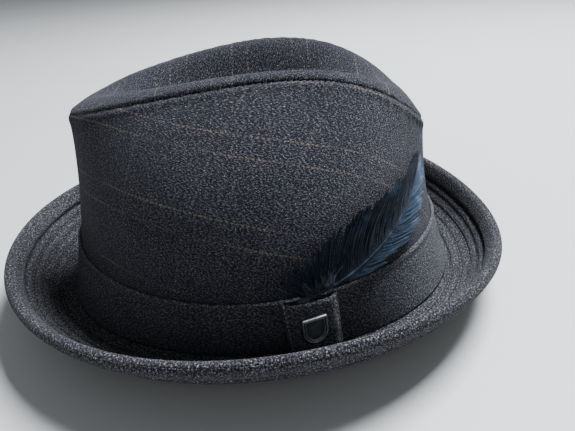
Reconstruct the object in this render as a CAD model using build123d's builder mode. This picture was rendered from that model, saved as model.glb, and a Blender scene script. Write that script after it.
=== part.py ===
from build123d import *
import os
from math import cos, hypot, pi, radians, sin

# A cut-and-sewn cloth fedora with a short turned-up brim, made lying on a table.
# +Z is up and z = 0 is the table. The front is -Y, the back is +Y and the wearer's left is +X.
# The origin is under the middle of the brim. A turn goes round the crown: 0 degrees at the
# wearer's left, 90 at the back and -90 at the front. All sizes are in millimetres.

# ---- Crown: the outer face of its cloth --------------------------------------------------------
crown_half_width = 90.6  # foot of the crown, across the head
crown_half_length = 104.6  # foot of the crown, front to back
crown_set_back = 1.3  # the crown stands this much behind the middle of the brim
seam_half_width = 47.0  # the oval seam round the top panel
seam_half_length = 88.7
seam_height = 111.95  # the top seam, above the table, at the middle of each side
seam_end_lift = 7.9  # the seam's rise and fall along the hat, as a quartic of its length
seam_end_sag = -16.0
seam_end_twist = -15.2
seam_end_drop = -9.9
side_roundness = 3.2  # the sides bulge and roll over late; the two ends lean in early
side_bulge = 0.42
end_roundness = 1.9

# ---- Top panel: a ridge inside the seam and a long dent ----------------------------------------
ridge_height = 3.0
ridge_width_share = 0.13
dent_depth = 24.0
dent_shallower_at_ends = 0.45
dent_wider_at_back = 0.15
dent_lip_share = 0.87
dent_floor_share = 0.38
top_overrun = 1.03  # a top ply is lofted this much past the seam, then cut to its oval

# ---- Brim --------------------------------------------------------------------------------------
brim_reach = 26.8  # from the crown's foot out to the edge, in plan
brim_reach_front = 1.3
brim_reach_sides = 2.1
rim_height = 29.85  # the middle of the brim's edge, above the table
rim_tilt = -1.2
rim_lift_sides = 3.63
rim_snap = 1.87  # the front stands up and the back comes down between two higher flanks
break_lift_sides = 6.7  # the brim lies on the table at front and back and arches at the sides
brim_start_slope = 4.0
brim_end_slope = 66.0
brim_curl_pull = 0.4  # how tightly the brim curls, as a share of its straight width
brim_ledge = 1.8  # the brim is flat this far out from the crown, where the band stands on it
brim_tuck = 3.0  # and runs in under the crown this far, to the headline seam
edge_allowance = 6.0  # cloth turned in at the brim's edge, where the stiffener stops

# ---- Cloth and what is under it ----------------------------------------------------------------
cloth = 1.2
canvas = 0.7
satin = 0.4
stiffener = 0.9
ply_gap = 0.2  # between two plies sewn together
top_drop_power = 8  # the plies' tops drop only close under the seam
top_slant = 1.3  # a ply at the top seam is cut on a slant, so it is this much thicker upright
canvas_short = 0.6  # the canvas stops this far below the cloth turned in at the seam

# ---- Hat band, tab and badge -------------------------------------------------------------------
band_height = 29.0
band_cloth = 1.15
band_gap = 0.2
tab_turn = radians(14.9)  # round from the wearer's left towards the back
tab_width = 23.8
tab_cloth = 1.1
tab_foot = 1.6  # the tab's lower edge above the foot of the crown, over the brim's curl
tab_pocket = 3.8  # how far the tab's middle stands off the band, for the feather's quill
tab_flatness = 6  # the power that keeps the tab's middle flat and its two edges steep
badge_width = 10.4
badge_height = 13.4
shield_shoulder_share = 0.08  # of the height, where the shield's straight sides end
shield_flank = (0.72, 0.66)  # a point of its curved flank, as shares of half its size
badge_plate = 0.8
badge_border = 1.0
badge_border_rise = 0.4
badge_up_the_band = 16.7  # middle of the badge above the foot of the crown
badge_tilt = 6.0  # degrees
badge_gap = 0.25
prong_radius = 0.45
prong_from_middle = 2.4
prong_clearance = 0.15
prong_hole_run_out = 1.0
backing_width = 4.0
backing_length_share = 0.7  # of the badge's height
backing_thickness = 0.4
backing_gap = 0.4

# ---- Sweatband, tape and labels ----------------------------------------------------------------
sweat_leather = 1.2
sweat_height = 34.0
tape_height = 9.0
tape_thickness = 0.5
label_width = 34.0
label_length = 46.0
label_thickness = 0.3
label_corner = 3.0
size_label_width = 18.0
size_label_height = 14.0

# ---- Feather -----------------------------------------------------------------------------------
feather_turn = radians(14.2)  # where the shaft crosses the tab's top edge
feather_sweep = radians(45.5)  # how far round the crown it reaches from there
feather_start_lift = 0.8  # height of the shaft above the band there
feather_rise = 18.0  # and its climb along the crown, straight and curling up
feather_curl = 16.0
feather_stand_off = 1.7  # of the shaft from the crown's cloth, at its tip
quill_radius = 1.0
quill_tip_radius = 0.35
quill_in_tab = 6.0  # how far the quill reaches in behind the tab
wrap_radius = 1.3
wrap_length = 4.5
wrap_from_foot = 1.2
wrap_gap = 0.12
vane_thickness = 0.7
vane_start = 0.17  # shares of the shaft's length
upper_vane_width = 13.0
lower_vane_width = 11.0
vane_root_fullness = 0.45  # width at its foot, as a share of its widest
vane_swell = 2.2  # and how fast it swells from there
vane_tip_width = 1.5
down_start = 0.05
down_end = 0.15
down_width = 10.0
down_depth = 2.2
down_above_shaft = 4.6
down_end_fullness = 0.55

# ---- Worked out from the sizes above -----------------------------------------------------------
brim_thickness = 2 * cloth + stiffener + 2 * ply_gap
brim_top = brim_thickness / 2  # faces of the brim's plies, from its middle line
brim_core = stiffener / 2
canvas_face = cloth + ply_gap
canvas_back = canvas_face + canvas
canvas_drop = top_slant * canvas_face + canvas_short
tape_face = canvas_back + ply_gap
tape_back = tape_face + tape_thickness
lining_face = tape_back + ply_gap
lining_back = lining_face + satin
lining_drop = canvas_drop + top_slant * (canvas + 2 * ply_gap)
tip_under_canvas = top_slant * (canvas_back + ply_gap)
sweat_face = lining_back + ply_gap
sweat_back = sweat_face + sweat_leather
band_back = -band_gap
band_face = band_back - band_cloth
quill_stand_off = tab_pocket / 2 - band_face
tab_face = band_face - ply_gap - tab_pocket - tab_cloth
prong_length = badge_gap + tab_cloth + backing_gap + 2 * backing_thickness
prong_spots = [(0, prong_from_middle), (0, -prong_from_middle)]
above_all = 2 * seam_height
turn_step = 0.01  # radians, to find which way a surface faces
shaft_step = 0.02  # share of the shaft, to find which way it runs
upright = Vector(0, 0, 1)
half_turns = [radians(-90 + 15 * step) for step in range(13)]


def base_oval(turn, inset=0.0):
    """Point on the foot of the crown."""
    along = crown_set_back + (crown_half_length - inset) * sin(turn)
    return Vector((crown_half_width - inset) * cos(turn), along)


def seam_oval(turn):
    """The same point of the top seam, in plan."""
    return Vector(seam_half_width * cos(turn), crown_set_back + seam_half_length * sin(turn))


def break_height(turn):
    """Height of the crown's foot, where the brim breaks away from it."""
    return brim_thickness + break_lift_sides * cos(turn) ** 2


def seam_rise(along):
    """Height of the top seam at a place along the hat, from -1 at the front to 1 at the back."""
    bend = seam_end_lift * along + seam_end_sag * along**2
    return seam_height + bend + seam_end_twist * along**3 + seam_end_drop * along**4


def lean(turn, share):
    """How far the wall has leaned in towards the seam, 0 to 1, at a share of its height."""
    side = share**side_roundness - side_bulge * share * (1 - share) ** 1.5
    end = 1 - (1 - share) ** end_roundness
    return side * cos(turn) ** 2 + end * sin(turn) ** 2


def wall_rise(turn):
    """Height of the crown wall from its foot to the top seam."""
    return seam_rise(sin(turn)) - break_height(turn)


def wall_plane(turn):
    """Upright plane that cuts the crown wall: x runs inwards from the foot, y runs up."""
    foot = base_oval(turn)
    inward = (seam_oval(turn) - foot).normalized()
    return Plane(origin=foot, x_dir=inward, z_dir=inward.cross(upright))


def wall_spot(turn, share, inset, drop=0.0):
    """Point of a ply in the wall plane, inset from the cloth's face and lowered at the seam."""
    reach = (seam_oval(turn) - base_oval(turn)).length
    fall = drop * share**top_drop_power
    return (inset + reach * lean(turn, share), break_height(turn) + wall_rise(turn) * share - fall)


def strip_profile(turn, face_spots, back_spots):
    """Section of a strip of the wall, between two rows of points in the wall plane."""
    with BuildSketch(wall_plane(turn)) as profile:
        with BuildLine():
            face = Spline(*face_spots)
            back = Spline(*back_spots)
            Line(face @ 0, back @ 0)
            Line(face @ 1, back @ 1)
        make_face()
    return profile.sketch


def wall_sections(face_inset, back_inset, face_drop, back_drop, turns=half_turns):
    """Sections of a ply that runs the whole height of the wall."""
    sections = []
    for turn in turns:
        low = ply_gap / wall_rise(turn)
        shares = [low + (1 - low) * step / 8 for step in range(9)]
        face_spots = [wall_spot(turn, share, face_inset, face_drop) for share in shares]
        back_spots = [wall_spot(turn, share, back_inset, back_drop) for share in shares]
        sections.append(strip_profile(turn, face_spots, back_spots))
    return sections


def ring_profile(turn, face_inset, back_inset, low, high):
    """Section of a strip that follows the wall between two heights above its foot."""
    shares = [(low + (high - low) * step / 4) / wall_rise(turn) for step in range(5)]
    face_spots = [wall_spot(turn, share, face_inset) for share in shares]
    back_spots = [wall_spot(turn, share, back_inset) for share in shares]
    return strip_profile(turn, face_spots, back_spots)


def ring_sections(face_inset, back_inset, low, high, turns=half_turns):
    """Sections of such a strip, one at each turn."""
    return [ring_profile(turn, face_inset, back_inset, low, high) for turn in turns]


def wall_point(turn, height, inset):
    """Point in space of the wall, at a height above its foot."""
    across, up = wall_spot(turn, height / wall_rise(turn), inset)
    return wall_plane(turn).from_local_coords((across, up))


def face_plane(turn, height, inset):
    """Plane that lies on the wall: x runs round to the back, y runs up, z points outwards."""
    behind = wall_point(turn - turn_step, height, inset)
    along = wall_point(turn + turn_step, height, inset) - behind
    up = wall_point(turn, height + 1, inset) - wall_point(turn, height - 1, inset)
    outward = along.cross(up).normalized()
    return Plane(origin=wall_point(turn, height, inset), x_dir=along, z_dir=outward)


def top_height(across, along):
    """Height of the top panel's outer face at a place in plan."""
    length_share = along / seam_half_length
    radius = hypot(across / seam_half_width, along / seam_half_length)
    ridge = max(-0.5, min(1.0, (1 - radius) / ridge_width_share))
    wider = seam_half_width * (1 + dent_wider_at_back * length_share)
    dent_radius = hypot(across / wider, along / seam_half_length)
    fall = (dent_lip_share - dent_radius) / (dent_lip_share - dent_floor_share)
    fall = max(0.0, min(1.0, fall))
    depth = dent_depth * (1 - dent_shallower_at_ends * length_share**2)
    bowl = depth * fall * fall * (3 - 2 * fall)
    return seam_rise(length_share) + ridge_height * ridge * (2 - ridge) - bowl


def top_profile(across, under, thickness):
    """Section of a top ply, cut along the hat, some way under the panel's outer face."""
    places = [top_overrun * seam_half_length * step / 11 for step in range(-11, 12)]
    with BuildSketch(Plane.YZ.offset(across)) as profile:
        with BuildLine():
            heights = [(y + crown_set_back, top_height(across, y) - under) for y in places]
            face = Spline(*heights)
            back = Spline(*[(y, z - thickness) for y, z in heights])
            Line(face @ 0, back @ 0)
            Line(face @ 1, back @ 1)
        make_face()
    return profile.sketch


def top_sections(under, thickness):
    """Sections of a top ply, side by side across the hat."""
    widest = top_overrun * seam_half_width
    spread = [widest * sin(radians(90 * step / 8)) for step in range(-8, 9)]
    return [top_profile(across, under, thickness) for across in spread]


def brim_plane(turn):
    """Upright plane square to the crown's foot: x runs outwards, y runs up."""
    foot = base_oval(turn)
    slope = Vector(cos(turn) / crown_half_width, sin(turn) / crown_half_length)
    outward = slope.normalized()
    return Plane(origin=foot, x_dir=outward, z_dir=outward.cross(upright))


def brim_arc(turn):
    """The four control points of the brim's middle line, from its ledge to its edge."""
    middle = break_height(turn) - brim_thickness / 2
    reach = brim_reach - brim_reach_front * sin(turn) + brim_reach_sides * cos(2 * turn)
    rise = rim_tilt * sin(turn) + rim_lift_sides * cos(2 * turn) + rim_snap * sin(3 * turn)
    start = Vector(brim_ledge, middle)
    end = Vector(reach, rim_height + rise)
    pull = brim_curl_pull * (end - start).length
    first = Vector(cos(radians(brim_start_slope)), sin(radians(brim_start_slope)))
    last = Vector(cos(radians(brim_end_slope)), sin(radians(brim_end_slope)))
    return start, start + first * pull, end - last * pull, end


def brim_spot(turn, share, above):
    """Point at a share of the brim's width, some way above its middle line."""
    a, b, c, d = brim_arc(turn)
    rest = 1 - share
    spot = a * rest**3 + b * (3 * share * rest**2) + c * (3 * share**2 * rest) + d * share**3
    way = (b - a) * rest**2 + (c - b) * (2 * share * rest) + (d - c) * share**2
    way = way.normalized()
    return spot + Vector(-way.Y, way.X) * above


def brim_profile(turn, face_above, back_above, end_share, turned_in=0.0):
    """Section of one brim ply: flat under the crown, then curling up to its edge.

    A ply with cloth turned in at its edge is thicker there by what is turned in.
    """
    middle = break_height(turn) - brim_top
    shares = [end_share * step / 8 for step in range(9)]
    fold = 1 - edge_allowance / brim_width(turn)
    with BuildSketch(brim_plane(turn)) as profile:
        with BuildLine():
            face = Spline(*[brim_spot(turn, share, face_above) for share in shares])
            if turned_in:
                field = [brim_spot(turn, fold * step / 6, back_above) for step in range(7)]
                edge = [brim_spot(turn, fold + (1 - fold) * step / 2, back_above + turned_in)
                        for step in range(3)]
                back = Spline(*field)
                fold_back = Spline(*edge)
                Line(back @ 1, fold_back @ 0)
                Line(fold_back @ 1, face @ 1)
            else:
                back = Spline(*[brim_spot(turn, share, back_above) for share in shares])
                Line(back @ 1, face @ 1)
            Polyline(
                face @ 0,
                (-brim_tuck, middle + face_above),
                (-brim_tuck, middle + back_above),
                back @ 0,
            )
        make_face()
    return profile.sketch


def brim_width(turn):
    """Width of the brim along its middle line, near enough, from its control points."""
    a, b, c, d = brim_arc(turn)
    polygon = (b - a).length + (c - b).length + (d - c).length
    return ((d - a).length + polygon) / 2


def brim_sections(face_above, back_above, short=0.0, turned_in=0.0):
    """Sections of one brim ply, stopping short of the edge, round the wearer's left half."""
    return [
        brim_profile(turn, face_above, back_above, 1 - short / brim_width(turn), turned_in)
        for turn in half_turns
    ]


def shaft_on_wall(share):
    """The feather's turn round the crown and its height above the foot, at a share of its shaft."""
    height = band_height + feather_start_lift + feather_rise * share + feather_curl * share**2
    return feather_turn + feather_sweep * share, height


def shaft_point(share):
    """Point on the feather's shaft: 0 at the tab's top edge, 1 at the tip, below 0 in the tab."""
    if share < 0:
        return shaft_point(0) + shaft_foot_way * share
    turn, height = shaft_on_wall(share)
    stand_off = feather_stand_off + (quill_stand_off - feather_stand_off) * (1 - share) ** 2
    return wall_point(turn, height, -stand_off)


def shaft_plane(share):
    """Plane square to the shaft: x runs up across the vane, y points away from the crown."""
    way = shaft_point(share + shaft_step / 2) - shaft_point(share - shaft_step / 2)
    outward = face_plane(*shaft_on_wall(max(0.0, share)), 0).z_dir
    return Plane(origin=shaft_point(share), x_dir=outward.cross(way), z_dir=way)


def shaft_circle(share, radius):
    """Round section of the shaft."""
    with BuildSketch(shaft_plane(share)) as profile:
        Circle(radius)
    return profile.sketch


def vane_profile(share, width, up):
    """Section of the vane on one side of the shaft."""
    root = quill_radius_at(share) + wrap_gap
    with BuildSketch(shaft_plane(share)) as profile:
        with Locations((up * (root + width / 2), 0)):
            Rectangle(width, vane_thickness)
    return profile.sketch


def quill_radius_at(share):
    """The quill tapers evenly to its tip."""
    return quill_radius + (quill_tip_radius - quill_radius) * max(0.0, share)


def vane_width(share, widest):
    """Width of one vane: it swells, holds, and rounds in to the tip."""
    place = (share - vane_start) / (1 - vane_start)
    swell = min(1.0, vane_root_fullness + vane_swell * place)
    close = (1 - place**3) ** 0.5
    return vane_tip_width + (widest - vane_tip_width) * swell * close


def tab_profile(place):
    """Section of the tab at a place across it, -1 to 1: flat-topped, sewn down at both edges."""
    turn = tab_turn + place * tab_width / 2 / crown_half_length
    lift = tab_pocket * (1 - place**tab_flatness)
    back = band_face - ply_gap - lift
    return ring_profile(turn, back - tab_cloth, back, tab_foot, band_height)


def badge_plane(lift):
    """Plane of the badge, some way out from the tab's face."""
    flat = face_plane(tab_turn, badge_up_the_band, tab_face)
    return Plane(flat.offset(lift).location * Rotation(0, 0, badge_tilt))


def shield(inset):
    """Outline of a plain shield, all round inside the badge's edge by an inset."""
    with BuildSketch() as outline:
        half = badge_width / 2
        top = badge_height / 2
        shoulder = -badge_height * shield_shoulder_share
        with BuildLine():
            Polyline((-half, shoulder), (-half, top), (half, top), (half, shoulder))
            right = (half * shield_flank[0], -top * shield_flank[1])
            ThreePointArc((half, shoulder), right, (0, -top))
            ThreePointArc((0, -top), (-right[0], right[1]), (-half, shoulder))
        make_face()
        if inset:
            offset(amount=-inset, mode=Mode.REPLACE)
    return outline.sketch


def down_profile(share):
    """Section of the down: a flat oval, fullest in its middle, mostly above the shaft."""
    place = (share - down_start) / (down_end - down_start)
    full = down_end_fullness + (1 - down_end_fullness) * sin(pi * place)
    with BuildSketch(shaft_plane(share)) as profile:
        with Locations((down_above_shaft, 0)):
            Ellipse(down_width / 2 * full, down_depth / 2 * full)
    return profile.sketch


shaft_foot_way = (shaft_point(shaft_step) - shaft_point(0)) * (1 / shaft_step)
shaft_length = shaft_foot_way.length
quill_start = -quill_in_tab / shaft_length
wrap_start = quill_start + wrap_from_foot / shaft_length

os.makedirs("parts", exist_ok=True)

# ---- Crown: two side panels and a top panel of cloth -------------------------------------------
with BuildPart() as crown_side_left:
    loft(sections=wall_sections(0, cloth, 0, top_slant * cloth))
crown_side_left.part.label = "crown_side_left"
export_step(crown_side_left.part, "parts/crown_side_left.step")

with BuildPart() as crown_side_right:
    mirror(crown_side_left.part, about=Plane.YZ)
crown_side_right.part.label = "crown_side_right"
export_step(crown_side_right.part, "parts/crown_side_right.step")

with BuildPart() as crown_tip:
    loft(sections=top_sections(0, top_slant * cloth))
    with BuildSketch():
        with Locations((0, crown_set_back)):
            Ellipse(seam_half_width - canvas_face, seam_half_length - canvas_face)
    extrude(amount=above_all, mode=Mode.INTERSECT)
crown_tip.part.label = "crown_tip"
export_step(crown_tip.part, "parts/crown_tip.step")

# ---- Crown: fusible canvas behind each panel ---------------------------------------------------
with BuildPart() as side_canvas_left:
    loft(sections=wall_sections(canvas_face, canvas_back, canvas_drop, canvas_drop + top_slant * canvas))
side_canvas_left.part.label = "side_canvas_left"
export_step(side_canvas_left.part, "parts/side_canvas_left.step")

with BuildPart() as side_canvas_right:
    mirror(side_canvas_left.part, about=Plane.YZ)
side_canvas_right.part.label = "side_canvas_right"
export_step(side_canvas_right.part, "parts/side_canvas_right.step")

with BuildPart() as tip_canvas:
    loft(sections=top_sections(top_slant * canvas_face, top_slant * canvas))
    with BuildSketch():
        with Locations((0, crown_set_back)):
            Ellipse(seam_half_width - tape_face, seam_half_length - tape_face)
    extrude(amount=above_all, mode=Mode.INTERSECT)
tip_canvas.part.label = "tip_canvas"
export_step(tip_canvas.part, "parts/tip_canvas.step")

# ---- Lining: satin sides and a satin top, with a blank label -----------------------------------
with BuildPart() as lining_side_left:
    sections = wall_sections(lining_face, lining_back, lining_drop, lining_drop + top_slant * satin)
    loft(sections=sections)
lining_side_left.part.label = "lining_side_left"
export_step(lining_side_left.part, "parts/lining_side_left.step")

with BuildPart() as lining_side_right:
    mirror(lining_side_left.part, about=Plane.YZ)
lining_side_right.part.label = "lining_side_right"
export_step(lining_side_right.part, "parts/lining_side_right.step")

with BuildPart() as lining_tip:
    loft(sections=top_sections(tip_under_canvas, top_slant * satin))
    with BuildSketch():
        with Locations((0, crown_set_back)):
            Ellipse(seam_half_width - sweat_face, seam_half_length - sweat_face)
    extrude(amount=above_all, mode=Mode.INTERSECT)
lining_tip.part.label = "lining_tip"
export_step(lining_tip.part, "parts/lining_tip.step")

with BuildPart() as maker_label:
    loft(sections=top_sections(tip_under_canvas + top_slant * (satin + ply_gap), label_thickness))
    with BuildSketch():
        with Locations((0, crown_set_back)):
            RectangleRounded(label_width, label_length, label_corner)
    extrude(amount=above_all, mode=Mode.INTERSECT)
maker_label.part.label = "maker_label"
export_step(maker_label.part, "parts/maker_label.step")

# ---- Headline: the tape in the seam, and the sweatband with its blank size label ---------------
with BuildPart() as headline_tape:
    loft(sections=ring_sections(tape_face, tape_back, ply_gap, tape_height))
    mirror(about=Plane.YZ)
headline_tape.part.label = "headline_tape"
export_step(headline_tape.part, "parts/headline_tape.step")

with BuildPart() as sweatband:
    loft(sections=ring_sections(sweat_face, sweat_back, ply_gap, sweat_height))
    mirror(about=Plane.YZ)
sweatband.part.label = "sweatband"
export_step(sweatband.part, "parts/sweatband.step")

with BuildPart() as size_label:
    reach = size_label_width / 2 / crown_half_width
    low = (sweat_height - size_label_height) / 2
    turns = [radians(90) - reach * step / 3 for step in range(4)]
    label_face = sweat_back + ply_gap
    label_back = label_face + label_thickness
    loft(sections=ring_sections(label_face, label_back, low, low + size_label_height, turns))
    mirror(about=Plane.YZ)
size_label.part.label = "size_label"
export_step(size_label.part, "parts/size_label.step")

# ---- Brim: top cloth, stiffener and under cloth ------------------------------------------------
with BuildPart() as brim_top_cloth:
    loft(sections=brim_sections(brim_top, brim_top - cloth))
    mirror(about=Plane.YZ)
brim_top_cloth.part.label = "brim_top_cloth"
export_step(brim_top_cloth.part, "parts/brim_top_cloth.step")

with BuildPart() as brim_stiffener:
    loft(sections=brim_sections(brim_core, -brim_core, edge_allowance + ply_gap))
    mirror(about=Plane.YZ)
brim_stiffener.part.label = "brim_stiffener"
export_step(brim_stiffener.part, "parts/brim_stiffener.step")

with BuildPart() as brim_under_cloth:
    turned_in = stiffener + ply_gap
    loft(sections=brim_sections(-brim_top, cloth - brim_top, 0, turned_in))
    mirror(about=Plane.YZ)
brim_under_cloth.part.label = "brim_under_cloth"
export_step(brim_under_cloth.part, "parts/brim_under_cloth.step")

# ---- Hat band and the tab that covers its join -------------------------------------------------
with BuildPart() as hat_band:
    loft(sections=ring_sections(band_face, band_back, ply_gap, band_height))
    mirror(about=Plane.YZ)
hat_band.part.label = "hat_band"
export_step(hat_band.part, "parts/hat_band.step")


with BuildPart() as band_tab:
    loft(sections=[tab_profile(step / 5 - 1) for step in range(11)])
    with BuildSketch(badge_plane(1)):
        with Locations(*prong_spots):
            Circle(prong_radius + prong_clearance)
    extrude(amount=-prong_length - prong_hole_run_out, mode=Mode.SUBTRACT)
band_tab.part.label = "band_tab"
export_step(band_tab.part, "parts/band_tab.step")

with BuildPart() as badge_shield:
    with BuildSketch(badge_plane(badge_gap)):
        add(shield(0))
    extrude(amount=badge_plate)
    with BuildSketch(badge_plane(badge_gap + badge_plate)):
        add(shield(0))
        add(shield(badge_border), mode=Mode.SUBTRACT)
    extrude(amount=badge_border_rise)
    with BuildSketch(badge_plane(badge_gap)):
        with Locations(*prong_spots):
            Circle(prong_radius)
    extrude(amount=-prong_length)
badge_shield.part.label = "badge_shield"
export_step(badge_shield.part, "parts/badge_shield.step")

with BuildPart() as badge_backing:
    with BuildSketch(badge_plane(-tab_cloth - backing_gap)):
        SlotOverall(badge_height * backing_length_share, backing_width, rotation=90)
        with Locations(*prong_spots):
            Circle(prong_radius + prong_clearance, mode=Mode.SUBTRACT)
    extrude(amount=-backing_thickness)
badge_backing.part.label = "badge_backing"
export_step(badge_backing.part, "parts/badge_backing.step")

# ---- Feather: quill, thread wrap, two vanes and the down at its foot ---------------------------
quill_shares = [quill_start + (1 - quill_start) * step / 14 for step in range(15)]
vane_shares = [vane_start + (1 - vane_start) * step / 8 for step in range(9)]
down_shares = [down_start + (down_end - down_start) * step / 4 for step in range(5)]
wrap_shares = [wrap_start + wrap_length / shaft_length * step / 3 for step in range(4)]

with BuildPart() as feather_quill:
    loft(sections=[shaft_circle(share, quill_radius_at(share)) for share in quill_shares])
feather_quill.part.label = "feather_quill"
export_step(feather_quill.part, "parts/feather_quill.step")

with BuildPart() as feather_wrap:
    loft(sections=[shaft_circle(share, wrap_radius) for share in wrap_shares])
    bore = [wrap_shares[0] - shaft_step] + wrap_shares[1:3] + [wrap_shares[3] + shaft_step]
    sleeve = [shaft_circle(share, quill_radius + wrap_gap) for share in bore]
    loft(sections=sleeve, mode=Mode.SUBTRACT)
feather_wrap.part.label = "feather_wrap"
export_step(feather_wrap.part, "parts/feather_wrap.step")

with BuildPart() as feather_vane_upper:
    loft(sections=[vane_profile(share, vane_width(share, upper_vane_width), 1) for share in vane_shares])
feather_vane_upper.part.label = "feather_vane_upper"
export_step(feather_vane_upper.part, "parts/feather_vane_upper.step")

with BuildPart() as feather_vane_lower:
    loft(sections=[vane_profile(share, vane_width(share, lower_vane_width), -1) for share in vane_shares])
feather_vane_lower.part.label = "feather_vane_lower"
export_step(feather_vane_lower.part, "parts/feather_vane_lower.step")

with BuildPart() as feather_down:
    loft(sections=[down_profile(share) for share in down_shares])
    reach = [down_start - shaft_step] + down_shares + [down_end + shaft_step]
    sleeve = [shaft_circle(share, quill_radius + wrap_gap) for share in reach]
    loft(sections=sleeve, mode=Mode.SUBTRACT)
feather_down.part.label = "feather_down"
export_step(feather_down.part, "parts/feather_down.step")
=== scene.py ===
import math

import bmesh
import bpy
import numpy as np
from mathutils import Matrix, Vector


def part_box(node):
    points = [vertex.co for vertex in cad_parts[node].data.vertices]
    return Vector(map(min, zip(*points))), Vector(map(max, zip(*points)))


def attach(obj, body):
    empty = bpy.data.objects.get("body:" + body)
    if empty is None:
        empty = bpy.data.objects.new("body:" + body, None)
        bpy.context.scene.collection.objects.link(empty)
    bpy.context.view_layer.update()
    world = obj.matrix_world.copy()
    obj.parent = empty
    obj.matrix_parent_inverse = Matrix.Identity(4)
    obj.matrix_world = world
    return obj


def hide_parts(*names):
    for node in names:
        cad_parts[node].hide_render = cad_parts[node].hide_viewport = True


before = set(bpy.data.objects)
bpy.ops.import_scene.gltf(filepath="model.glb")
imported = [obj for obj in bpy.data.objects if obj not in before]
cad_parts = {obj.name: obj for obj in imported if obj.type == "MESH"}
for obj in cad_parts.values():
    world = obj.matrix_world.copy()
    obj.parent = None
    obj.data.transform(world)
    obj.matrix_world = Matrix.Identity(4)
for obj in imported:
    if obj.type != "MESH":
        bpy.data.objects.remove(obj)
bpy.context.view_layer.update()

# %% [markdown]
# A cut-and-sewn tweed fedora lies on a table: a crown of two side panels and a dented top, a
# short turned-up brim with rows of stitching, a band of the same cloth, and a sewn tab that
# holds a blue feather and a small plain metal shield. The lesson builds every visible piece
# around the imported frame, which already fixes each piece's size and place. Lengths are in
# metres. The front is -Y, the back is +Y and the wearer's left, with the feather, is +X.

# %% [markdown]
# The hat's surfaces all grow from two ovals: the foot of the crown and the seam round its
# top. Writing them once as formulas keeps each cloth piece exactly on the frame, and lets the
# seams, stitches and feather ask for a place on the hat by its turn round the crown and its
# share of the wall's height. A turn of 0 is the wearer's left and 90 degrees is the back.

# %% The sizes that shape the hat
crown_half_width = 0.0906
crown_half_length = 0.1046
crown_set_back = 0.0013
seam_half_width = 0.0470
seam_half_length = 0.0887
seam_height = 0.11195
seam_curve = (0.0079, -0.0160, -0.0152, -0.0099)
side_roundness = 3.2
side_bulge = 0.42
end_roundness = 1.9
ridge_height = 0.003
ridge_width_share = 0.13
dent_depth = 0.024
dent_shallower_at_ends = 0.45
dent_wider_at_back = 0.15
dent_lip_share = 0.87
dent_floor_share = 0.38
brim_thickness = 0.0037
break_lift_sides = 0.0067
cloth = 0.0012
band_height = 0.029
band_inner_face = -0.0002
band_outer_face = -0.00135


def break_height(turn):
    """Height of the crown's foot, where the brim turns away from it."""
    return brim_thickness + break_lift_sides * np.cos(turn) ** 2


def seam_rise(along):
    """Height of the top seam at a share of the hat's length, -1 at the front to 1 at the back."""
    return seam_height + sum(part * along ** (power + 1) for power, part in enumerate(seam_curve))


def wall_rise(turn):
    """Height of the crown wall from its foot to the top seam."""
    return seam_rise(np.sin(turn)) - break_height(turn)


def crown_foot(turn):
    """Point of the oval where crown and brim meet, in plan."""
    sides = crown_half_width * np.cos(turn)
    return np.stack([sides, crown_set_back + crown_half_length * np.sin(turn)], -1)


def crown_wall(turn, share, inset=0.0):
    """Points of the crown wall; a positive inset is inside the cloth's outer face."""
    turn, share, inset = np.broadcast_arrays(turn, share, inset)
    low = crown_foot(turn)
    ends = crown_set_back + seam_half_length * np.sin(turn)
    high = np.stack([seam_half_width * np.cos(turn), ends], -1)
    reach = np.linalg.norm(high - low, axis=-1)
    held = np.clip(share, 0.0, 1.0)
    side = held**side_roundness - side_bulge * held * (1 - held) ** 1.5
    end = 1 - (1 - held) ** end_roundness
    lean = side * np.cos(turn) ** 2 + end * np.sin(turn) ** 2
    plan = low + (high - low) / reach[..., None] * (inset + reach * lean)[..., None]
    return np.concatenate([plan, (break_height(turn) + wall_rise(turn) * share)[..., None]], -1)


def wall_at_height(turn, height, inset=0.0):
    """Points of the wall at a height above the crown's foot."""
    return crown_wall(turn, height / wall_rise(turn), inset)


def top_panel(turn, radius, under=0.0):
    """Points of the dented top: radius 0 is its middle and 1 is the seam."""
    turn, radius = np.broadcast_arrays(turn, radius)
    across = seam_half_width * radius * np.cos(turn)
    along = radius * np.sin(turn)
    ridge = np.clip((1 - radius) / ridge_width_share, -0.5, 1.0)
    wider = across / (seam_half_width * (1 + dent_wider_at_back * along))
    fall = (dent_lip_share - np.hypot(wider, along)) / (dent_lip_share - dent_floor_share)
    fall = np.clip(fall, 0.0, 1.0)
    bowl = dent_depth * (1 - dent_shallower_at_ends * along**2) * fall**2 * (3 - 2 * fall)
    height = seam_rise(along) + ridge_height * ridge * (2 - ridge) - bowl - under
    return np.stack([across, crown_set_back + seam_half_length * along, height], -1)


crown_side_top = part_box("crown_side_left")[1][2]
print("crown seam by formula", round(float(seam_rise(0.0)), 4), "frame's top", round(crown_side_top, 4))

# %% [markdown]
# Real sewn cloth is a thin shell with two faces and a folded or cut edge, never a single
# sheet of faces. Each cloth piece here is a grid of points on its outer face and a second
# grid on its inner face, joined round the rim, so that it is closed and exports as a solid.
# The grids could come from a Solidify modifier, but writing both faces lets a seam dive in or
# a hem roll over. A flat map of the cloth, in metres, goes with each piece: the weave follows it.

# %% Helpers for grids of points
def steps(low, high, count):
    """Evenly spaced values from low to high."""
    return np.linspace(low, high, count)


def hill(distance, width):
    """A smooth bump, 1 at distance 0."""
    return np.exp(-((distance / width) ** 2))


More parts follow.
